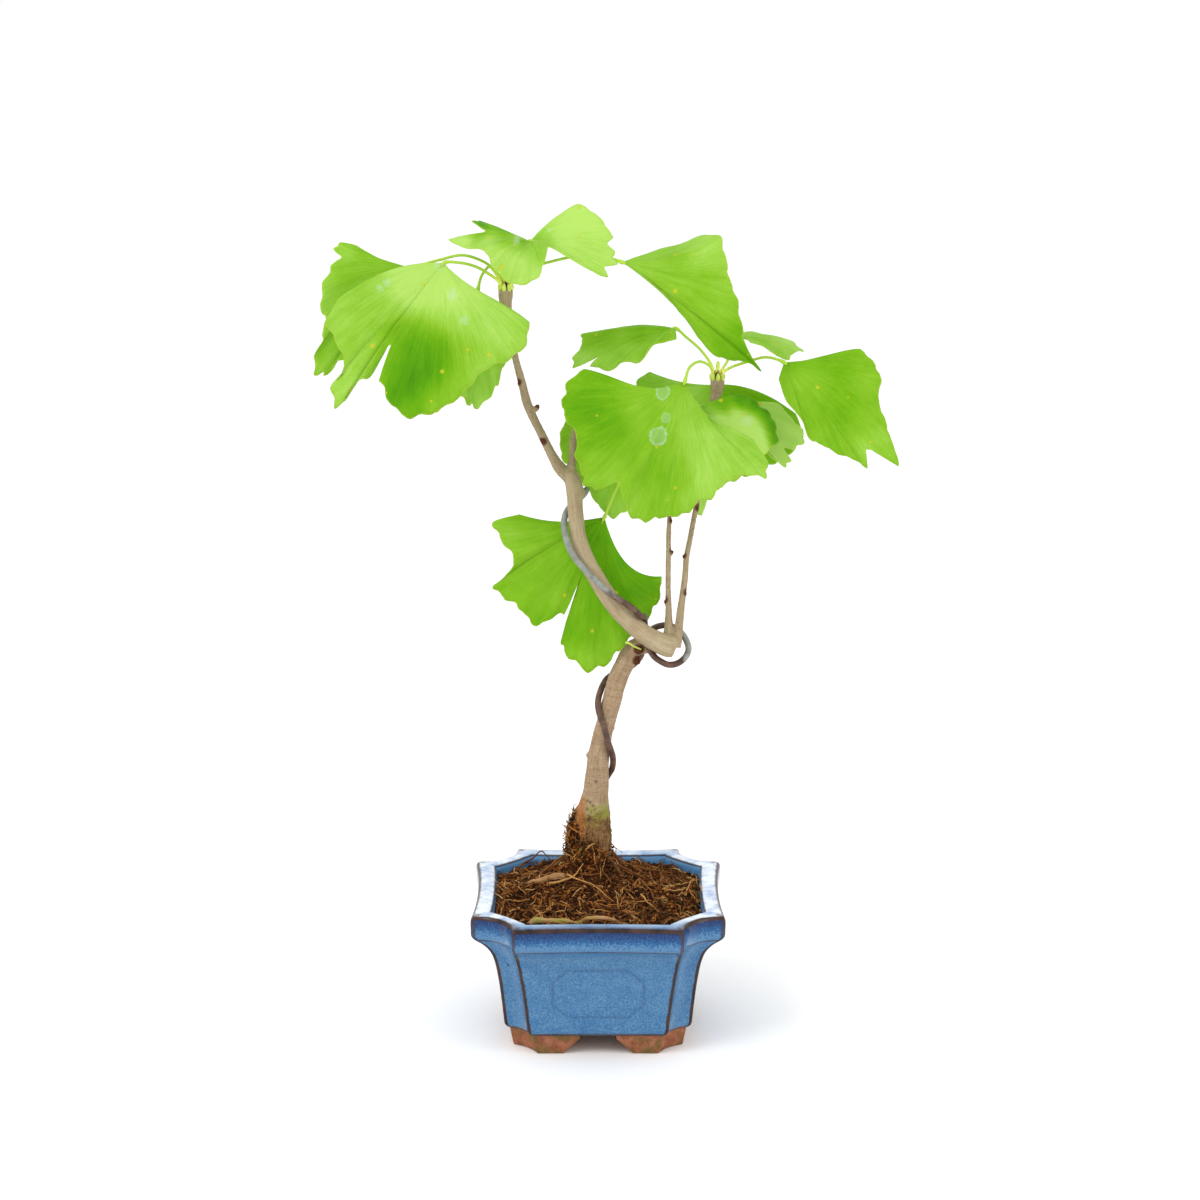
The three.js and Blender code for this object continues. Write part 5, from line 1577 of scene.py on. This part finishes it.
# %% Leaf surface
RIBS_PER_CREST = 7
LEAF_RINGS = 26
RING_POWER = 0.85
SIDE_ROUNDING, SIDE_CRESTS = 0.07, 0.9
NECK_SHARE = 0.28
NECK_PEAK = 27 / 4  # makes the highest value of out * (1 - out) ** 2 a whole 1
RUFFLE, WAVE, WAVE_SIZE = 0.7, 0.8, 11.0
BLADE_THICKNESS, THICK_FROM = 0.4, 6.0


def joined_at(leaf):
    """The join of stalk and blade, and the direction from there into the blade."""
    join = np.array(leaf["join"], float)
    return join, unit(np.mean(leaf["tips"], axis=0) - join)


def leaf_margin(leaf, places, chance):
    """Points of the margin at places counted in crests."""
    join, tip_count = joined_at(leaf)[0], len(leaf["tips"])
    crests = spline(leaf["tips"], places)
    uneven = np.interp(places, np.arange(tip_count) + 0.5, chance.uniform(0.5, 1.9, tip_count))
    notch = (1 - np.abs(np.cos(math.pi * places))) * uneven
    teeth = 0.5 - 0.5 * np.cos(2 * math.pi * (places * 2.3 + chance.uniform()))
    shrink = leaf["depth"] * (notch + 0.22 * teeth)
    margin = join + (crests - join) * (1 - shrink)[:, None]
    from_side = np.minimum(places, places[-1] - places)
    rounding = SIDE_ROUNDING * np.clip(1 - from_side / SIDE_CRESTS, 0, 1) ** 2
    return join + (margin - join) * (1 - rounding)[:, None]


def split_reach(leaf, places, margin):
    """How much of each rib is left, as a share: all of it, but less beside a split between two lobes."""
    join, _ = joined_at(leaf)
    left = np.ones(len(places))
    for at, apex in leaf.get("splits", ()):
        whole = np.interp(at, places, np.linalg.norm(margin - join, axis=1))
        share = min(np.linalg.norm(np.array(apex) - join) / whole, 1)
        left = np.minimum(left, 1 - (1 - share) * np.clip(1 - 2 * np.abs(places - at), 0, 1))
    return left


def leaf_grid(leaf, chance):
    """Rings of the blade from near the join to the margin, as rows of points across the fan."""
    join, inward = joined_at(leaf)
    crest_count = len(leaf["tips"]) - 1
    places = np.linspace(0, crest_count, RIBS_PER_CREST * crest_count + 1)
    margin = leaf_margin(leaf, places, chance)
    bows = spline(leaf["arch"], places / crest_count * (len(leaf["arch"]) - 1))
    length = np.linalg.norm(margin - join, axis=1)[:, None]
    rings = np.linspace(0, 1, LEAF_RINGS + 1)[1:, None, None] ** RING_POWER
    out = rings * split_reach(leaf, places, margin)[:, None]
    bend = bows * 4 * out * (1 - out)
    far = length / length.max() * out
    bend[..., 1] = bows[:, 1] * (4 * far * (1 - far))[..., 0]
    from_side = np.minimum(places, places[-1] - places) / crest_count
    neck = np.where(places < crest_count / 2, *leaf.get("neck", (0, 0)))
    pull = (neck * np.clip(1 - from_side / NECK_SHARE, 0, 1) ** 2)[:, None]
    grid = join + (margin - join) * out + bend + inward * pull * NECK_PEAK * out * (1 - out) ** 2
    across, outward = np.gradient(grid, axis=1), np.gradient(grid, axis=0)
    normals = unit(np.cross(across, outward))
    ruffle = RUFFLE * out**2 * np.sin(2 * math.pi * (places[None, :, None] * 0.5 + chance.uniform()))
    waves = noise_at(grid.reshape(-1, 3), WAVE_SIZE).reshape(*grid.shape[:2], 1)
    grid = grid + normals * (ruffle + WAVE * waves * out)
    reach = length * out
    return grid, normals, reach, length[:, 0] - reach[..., 0], places / crest_count


def thickened(grid, normals, reach, join, thickness):
    """The grid as a closed sheet, thinner near the join, where its front and back meet in a short edge."""
    rows, columns = grid.shape[:2]
    thin = 0.2
    flat, out = grid.reshape(-1, 3), (normals * np.clip(reach / THICK_FROM, thin, 1)).reshape(-1, 3)
    middle = thin * unit(out[:columns].mean(0))
    sheet = np.concatenate([[join], flat])
    facing = np.concatenate([[middle], out]) * thickness / 2
    count = len(sheet)
    front = [[0, 2 + i, 1 + i] for i in range(columns - 1)]
    front += [[1 + i for i in face] for face in grid_faces(rows, columns, closed=False)]
    back = [[i + count for i in face[::-1]] for face in front]
    first, last = np.arange(rows) * columns + 1, np.arange(1, rows + 1) * columns
    rim = [0, *last, *(last[-1] - np.arange(1, columns - 1)), *first[::-1]]
    wall = [[q, p, p + count, q + count] for p, q in zip(rim, rim[1:] + rim[:1])]
    return np.concatenate([sheet + facing, sheet - facing]), front + back + wall


STALK_RADIUS, STALK_SIDES = 0.66, 10
STALK_RING = 2.4
STALK_RUN, STALK_END = 3.5, 5.0
FOOT_SWELL, FOOT_REACH = 0.75, 2.2
KNUCKLE, KNUCKLE_REACH = 0.5, 1.7


def leaf_stalk(leaf):
    """The stalk: swollen where it stands beside the bud, thin in the middle, running out into the blade."""
    turn = math.radians(leaf["turn"])
    x, y, z = TWIGS[leaf["spur"]][-1][:3]
    x, y = x + STALK_RING * math.cos(turn), y + STALK_RING * math.sin(turn)
    join, inward = joined_at(leaf)
    route = [(x, y, z + 0.2), (x, y, z + 2.6), *leaf["stalk"], join, join + STALK_RUN * inward]
    line = even_line(route, spacing=0.7)
    far = walked(line)
    base = FOOT_SWELL * np.exp(-far / FOOT_REACH)
    ending = smoothstep(far[-1], far[-1] - STALK_END, far)
    knuckle = KNUCKLE * np.exp(-(((far[-1] - STALK_RUN + 0.2 - far) / KNUCKLE_REACH) ** 2))
    radius = (STALK_RADIUS + base) * (0.25 + 0.75 * ending) + knuckle
    return np.column_stack([line, radius])


print("leaf helpers ready")

# %% [markdown]
# ## The leaf's finish
# The blade is bright yellow-green, and lets light through, so a translucent shader is mixed with the glossy
# one. The veins are drawn from two attributes: how far a point is from the join, and its place across the
# fan. Where the distance doubles, each vein forks in two, which keeps their spacing even, as in the leaf.
# A thin pale margin, scattered yellow dots and dried water marks finish it.

# %% Forking veins


def veins_group():
    """Lines that leave the join evenly across the fan, and fork each time the reach doubles."""
    graph, given, result = new_group("Forking veins", {
        "Reach": ("Float", 0.0), "Fan": ("Float", 0.0), "First": ("Float", 6.0), "Wobble": ("Float", 0.0),
    }, MASK)
    shifted = graph.times(given["Reach"], graph.plus(given["Wobble"], 1.0))
    from_start = graph.math("MAXIMUM", graph.math("DIVIDE", shifted, 4.0), 1.0)
    doublings = graph.math("LOGARITHM", from_start, 2.0)
    level = graph.math("FLOOR", doublings)
    count = graph.times(given["First"], graph.math("POWER", 2.0, level))
    cell = graph.math("FRACT", graph.times(given["Fan"], count))
    spread = graph.times(graph.band(graph.minus(doublings, level), 0.0, 0.8), 0.25)
    off = graph.apart(graph.apart(cell, 0.5), spread)
    graph.feed(result["Mask"], graph.band(off, 0.05, 0.2, 1.0, 0.0))
    return graph.tree


def water_mark_group():
    """A ragged round mark seen from the front, between a soft smear and a dried ring with a film in it."""
    graph, given, result = new_group("Dried water mark", {
        "Vector": ("Vector", None), "Centre": ("Vector", None), "Radius": ("Float", 0.004),
        "Ring": ("Float", 1.0),
    }, MASK)
    ragged_edge = graph.noise(given["Vector"], 700.0, 3.0, 0.6)
    flat = graph.vector_math("MULTIPLY", given["Vector"], (1, 0, 1))
    size = graph.math("DIVIDE", graph.vector_math("DISTANCE", flat, given["Centre"]), given["Radius"])
    size = graph.plus(size, graph.scaled(ragged_edge, 0.7, -0.35))
    ring = graph.band(graph.apart(size, 0.85), 0.04, 0.16, 1.0, 0.0)
    film = graph.times(graph.band(size, 0.8, 0.98, 1.0, 0.0), 0.35)
    ringed = graph.times(graph.math("MAXIMUM", ring, film), given["Ring"])
    smear = graph.band(graph.plus(size, graph.scaled(ragged_edge, 1.2, -0.6)), 0.1, 1.0, 0.8, 0.0)
    smeared = graph.times(smear, graph.minus(1.0, given["Ring"]))
    graph.feed(result["Mask"], graph.plus(ringed, smeared))
    return graph.tree


VEINS, WATER_MARK = veins_group(), water_mark_group()
print("leaf groups:", VEINS.name, WATER_MARK.name)

# %% Leaf material
# Water marks, seen from the front: x and z of the centre, a radius, and how far it is a ring, not a smear.
WATER_MARKS = {
    "leaf_centre_front": [(29.8, 313.5, 3.4, 1.0), (31.2, 302.5, 2.4, 0.8), (27.7, 295, 4.4, 1.0)],
    "leaf_left_front": [
        (-95.2, 366.9, 2.6, 0.0), (-98.4, 364.6, 2.4, 0.0), (-72, 374, 3.4, 0.0), (-60.4, 350.5, 3.0, 0.0),
        (-66, 361, 3.6, 0.0),
    ],
    "leaf_middle_curled": [(68.8, 299.1, 3.0, 0.2)],
    "leaf_crown": [(-37.0, 383.5, 2.2, 0.0), (-22.4, 386.9, 1.6, 0.0)],
}
# How pale the blade is at a few places, x and z, from about 0, deep green, to about 1, pale yellow-green.
# This is partly the leaf's own colour and partly painted light and shade: places are drawn paler where
# light falls on the leaf or to lift a leaf that lies behind others, and deeper where shade falls.
LIGHT_AND_PALENESS = {
    "leaf_left_front": [
        (-85, 326, -0.05), (-83, 342, 0.25), (-80, 334, 0.1), (-108, 344, 0.76), (-49, 344, 0.84),
        (-81, 363, 1.15), (-114, 322, 0.85), (-66, 364, 1.1), (-44, 330, 0.72), (-72, 313, 0.55),
    ],
    "leaf_left_back": [(-111, 367, 0.6), (-122, 356, 0.72), (-125, 334, 0.64)],
    "leaf_left_hanging": [(-51, 316, 0.72), (-59, 308, 0.8)],
    "leaf_crown": [
        (-53, 389, 0.0), (-43, 388, 0.05), (-35, 384, 0.6), (-37, 375, 1.0), (-30, 372, 0.95),
        (-62, 384, 1.1), (-50, 382.5, 1.1), (-45, 380, 1.0), (-12, 391, 1.0), (-14, 383, 1.05),
        (-4, 374, 0.9), (4, 371, 0.9), (-24, 379, 0.65),
    ],
    "leaf_long_stalk": [
        (28, 373, 0.65), (44, 361, 0.52), (47, 380, 0.78), (63, 336, 0.3), (57, 356, 0.66), (66, 330, 0.25),
    ],
    "leaf_centre_front": [
        (1, 307, 0.28), (26, 280, 0.45), (56, 287, 0.84), (40, 310, 0.62), (10, 267, 0.65), (65, 294, 0.78),
        (20, 316, 0.5),
    ],
    "leaf_centre_arched": [
        (-5, 333, 0.5), (5, 335, 0.5), (18, 337, 0.5), (28, 337, 0.5), (-8, 323, 0.9), (4, 323, 0.85),
        (15, 328, 0.7), (28, 333, 0.75),
    ],
    "leaf_right_back": [(87, 327, 1.0), (79, 328, 0.7)],
    "leaf_right_end": [
        (112, 319, 0.38), (112, 302, 0.4), (128, 290, 0.66), (93, 315, 0.5), (125, 324, 0.52),
    ],
    "leaf_right_behind": [
        (31, 312, 0.9), (20, 308, 0.75), (10, 256, 0.95), (48, 256, 1.0), (72, 308, 0.5), (82, 298, 0.4),
        (86, 286, 0.4),
    ],
    "leaf_middle_curled": [
        (58, 306.5, 0.3), (66, 308.5, 0.0), (73, 306, 0.0), (79, 302, 0.0), (82.5, 295, 0.1), (83, 289, 0.2),
        (56, 299, 1.1), (64, 301, 1.1), (70, 298, 1.1), (74, 292, 1.1), (76, 286, 1.1), (66, 288, 1.1),
    ],
    "leaf_middle_forked": [(85, 293, 1.2), (92, 300, 1.2), (76, 305, 1.0), (88, 280, 1.25)],
    "leaf_low": [
        (-32, 233, 0.55), (-6, 199, 0.26), (16, 220, 0.24), (-41, 243, 0.62), (1, 240, 0.25),
        (-18, 211, 0.52), (0, 182, 0.62), (26, 207, 0.4),
    ],
    "leaf_stub_back": [(-13, 292, 0.65), (6, 258, 0.72)],
}
# How far each of these places reaches before the next ones take over, in millimetres.
WIDE_REACH = 9.0
LIGHT_AND_PALE_REACH = {"leaf_middle_curled": 2.5, "leaf_crown": 4.0, "leaf_centre_arched": 4.0}


def light_and_paleness(name, points):
    """Smoothly between the given places, each counting more the nearer it is."""
    spots = np.array(LIGHT_AND_PALENESS[name])
    off = np.hypot(points[:, :1] - spots[:, 0], points[:, 2:3] - spots[:, 1])
    weight = 1 / (off**2 + LIGHT_AND_PALE_REACH.get(name, WIDE_REACH) ** 2) ** 1.5
    return (weight * spots[:, 2]).sum(1) / weight.sum(1)


GLOW_SHARE = 0.42


def leaf_material(name, marks):
    material, graph = new_material(name)
    place = graph.place()
    reach, fan = graph.attribute("reach"), graph.attribute("fan")
    cloud = graph.noise(place, 55.0, 4.0, 0.55)
    fine = graph.noise(place, 1300.0, 3.0, 0.6)
    wobble = graph.scaled(graph.noise(place, 90.0, 2.0), 0.9, -0.45)
    veins = graph.mask(VEINS, Reach=reach, Fan=fan, First=8.0, Wobble=wobble)
    veins = graph.times(veins, graph.band(reach, 3.0, 16.0, 0.15, 1.0))
    streaks = graph.noise(graph.attribute("along_veins", "Vector"), 1.0, 3.0, 0.65)
    streak = graph.times(veins, graph.band(fine, 0.3, 0.7, 0.0, 0.09))
    streak = graph.plus(streak, graph.scaled(streaks, 0.4, -0.2))
    # The pale attribute is partly painted light and shade, besides the leaf's own paler and deeper places.
    shade = graph.plus(graph.attribute("pale"), graph.scaled(cloud, 0.45, -0.22))
    shade = graph.plus(shade, streak)
    blade = graph.ramp(shade, [
        (0.0, (76, 146, 0)), (0.2, (98, 170, 2)), (0.4, (126, 186, 14)), (0.6, (150, 200, 44)),
        (0.8, (172, 215, 84)), (1.0, (196, 228, 118)),
    ])
    rim = graph.band(graph.attribute("edge"), 0.2, 0.9, 0.5, 0.0)
    blade = graph.mix(rim, blade, rgb(204, 226, 80))
    dots = graph.mask(SPOTS, Vector=place, Spacing=0.0085, Size=0.11, Share=0.7)
    blade = graph.tinted(blade, dots, 0.8, (222, 208, 52))
    specks = graph.mask(SPOTS, Vector=place, Spacing=0.019, Size=0.035, Share=0.35)
    blade = graph.tinted(blade, specks, 0.8, (150, 104, 30))
    dried = 0.0
    for x, z, radius, ring in marks:
        centre = tuple(in_place([(x, 0, z)])[0])
        mark = graph.mask(WATER_MARK, Vector=place, Centre=centre, Radius=radius * MM, Ring=ring)
        dried = graph.math("MAXIMUM", dried, mark)
    if marks:
        blade = graph.tinted(blade, dried, 0.5, (214, 232, 214))
    relief = graph.weighted((veins, 0.7), (streaks, 0.9))
    rough = graph.band(cloud, 0.3, 0.7, 0.42, 0.56)
    gloss = principled(graph, blade, rough, relief, 0.00005, **{"Specular IOR Level": 0.15})
    lit_through = graph.mix(0.3, blade, rgb(176, 228, 20))
    glow = graph.add("ShaderNodeBsdfTranslucent", {"Color": lit_through}).outputs[0]
    output(graph, graph.add("ShaderNodeMixShader", {0: GLOW_SHARE, 1: gloss, 2: glow}).outputs[0])
    return material


def stalk_material():
    material, graph = new_material("leaf_stalk")
    cloud = graph.noise(graph.place(), 700.0, 2.0, 0.5)
    stem = graph.ramp(graph.band(graph.attribute("reach"), 0.0, 14.0), [
        (0.0, (226, 228, 108)), (0.5, (190, 212, 76)), (1.0, (166, 200, 62)),
    ])
    rough = graph.band(cloud, 0.3, 0.7, 0.4, 0.55)
    output(graph, principled(graph, stem, rough, **{"Specular IOR Level": 0.2}))
    return material


STALK_FINISH = stalk_material()
print("leaf finishes:", len(LIGHT_AND_PALENESS))

# %% Build the leaves
NO_EDGE = 9.0


def make_leaf(leaf, number):
    """One leaf as one object, with what its finish reads kept for each point."""
    name, crest_count = leaf["name"], len(leaf["tips"])
    grid, normals, reach, to_edge, fan = leaf_grid(leaf, np.random.default_rng(100 + number))
    blade = thickened(grid, normals, reach, leaf["join"], BLADE_THICKNESS)
    stalk_line = leaf_stalk(leaf)
    stalk = tube(stalk_line, STALK_SIDES)
    material = leaf_material(name, WATER_MARKS.get(name, []))
    made = make_object(name + "_blade", together([blade, stalk]), [material, STALK_FINISH])
    made.data.polygons.foreach_set("material_index", [0] * len(blade[1]) + [1] * len(stalk[1]))
    spread = np.broadcast_to(fan, to_edge.shape).ravel()
    distance = reach.ravel()
    # The value at the join, those over the grid, and those on the stalk.
    values_of = {
        "fan": (0.5, spread, 0.5),
        "reach": (0, distance, np.repeat(walked(stalk_line), STALK_SIDES)),
        "edge": (NO_EDGE, (to_edge - to_edge[-1:]).ravel(), NO_EDGE),
    }
    for key, (at_join, over_grid, on_stalk) in values_of.items():
        side = np.concatenate([[at_join], over_grid])
        on_stalk = np.broadcast_to(on_stalk, len(stalk[0]))
        set_attribute(made, key, np.concatenate([side, side, on_stalk]))
    # Paleness here includes painted light and shade.
    set_attribute(made, "pale", light_and_paleness(name, mesh_points(made.data)))
    along = np.column_stack([spread * 2.2 * crest_count, distance / 16, np.full(len(distance), number)])
    along = np.concatenate([along[:1], along])
    along = np.concatenate([along, along, np.zeros((len(stalk[0]), 3))])
    set_attribute(made, "along_veins", along, "FLOAT_VECTOR")
    show(made, [name])


for number, leaf in enumerate(LEAVES):
    make_leaf(leaf, number)

# %% [markdown]
# ## Bud scales and a young shoot
# Between the stalks at the top of each spur stand the scales that wrapped last winter's bud, yellow-green
# with brown tips. One pale new shoot breaks from the trunk's bend, where the leaves above let light in.

# %% Spur scales and shoot


def scale_material():
    material, graph = new_material("bud_scales")
    place = graph.place()
    cloud = graph.noise(place, 900.0, 3.0, 0.6)
    tip = graph.attribute("tip")
    green = graph.ramp(cloud, [(0.35, (168, 190, 58)), (0.65, (214, 222, 104))])
    colour = graph.mix(graph.band(tip, 0.6, 1.0, 0.0, 0.8), green, rgb(120, 74, 40))
    output(graph, principled(graph, colour, 0.6, cloud, 0.0002))
    return material


SCALES_PER_SPUR = 7
SCALE_SIDES = 8
# A scale's profile: height over the twig's end, distance from its middle, and radius.
SCALE_PROFILE = [(-0.8, 2.3, 0.9), (0.8, 2.9, 1.0), (2.3, 2.5, 0.65), (3.4, 2.1, 0.15)]
SHOOT_ROUTE = [
    (13.0, 3.4, 190.4, 0.6), (14.6, 2.6, 190.2, 0.6), (17, 2.2, 188.8, 0.55), (20.3, 2.4, 187.2, 0.4),
]

scale_finish = scale_material()
scale_lines = []
for number, line in enumerate(TWIGS.values()):
    x, y, z = line[-1][:3]
    for turn in np.arange(SCALES_PER_SPUR) * 2 * math.pi / SCALES_PER_SPUR + 0.7 * number:
        c, s = math.cos(turn), math.sin(turn)
        points = [(x + off * c, y + off * s, z + up, radius) for up, off, radius in SCALE_PROFILE]
        scale_lines.append(even_line(points, spacing=0.35))
scale_tubes = together([tube(line, SCALE_SIDES) for line in scale_lines])
scales = make_object("bud_scales", scale_tubes, [scale_finish])
tips = [np.repeat(np.linspace(0, 1, len(line)), SCALE_SIDES) for line in scale_lines]
set_attribute(scales, "tip", np.concatenate(tips))
show(scales)
shoot = make_object("young_shoot", tube(even_line(SHOOT_ROUTE, spacing=0.4), SCALE_SIDES), [scale_finish])
set_attribute(shoot, "tip", np.zeros(len(shoot.data.vertices)))
show(shoot)

# %% [markdown]
# ## The drain screen
# A square of plastic mesh lies over the drain hole, so that the soil stays in. Its solid already has the
# right form, so it keeps it and only gets a scuffed black plastic finish.

# %% Drain screen


def screen_material():
    material, graph = new_material("black_screen_plastic")
    place = graph.place()
    scuffs = graph.noise(place, 700.0, 4.0, 0.65)
    colour = graph.ramp(scuffs, [(0.35, (26, 26, 27)), (0.7, (58, 56, 54))])
    output(graph, principled(graph, colour, graph.band(scuffs, 0.3, 0.7, 0.45, 0.7), scuffs, 0.0001))
    return material


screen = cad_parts["drain_screen"]
screen.data.materials.clear()
screen.data.materials.append(screen_material())
print("screen faces:", len(screen.data.polygons))
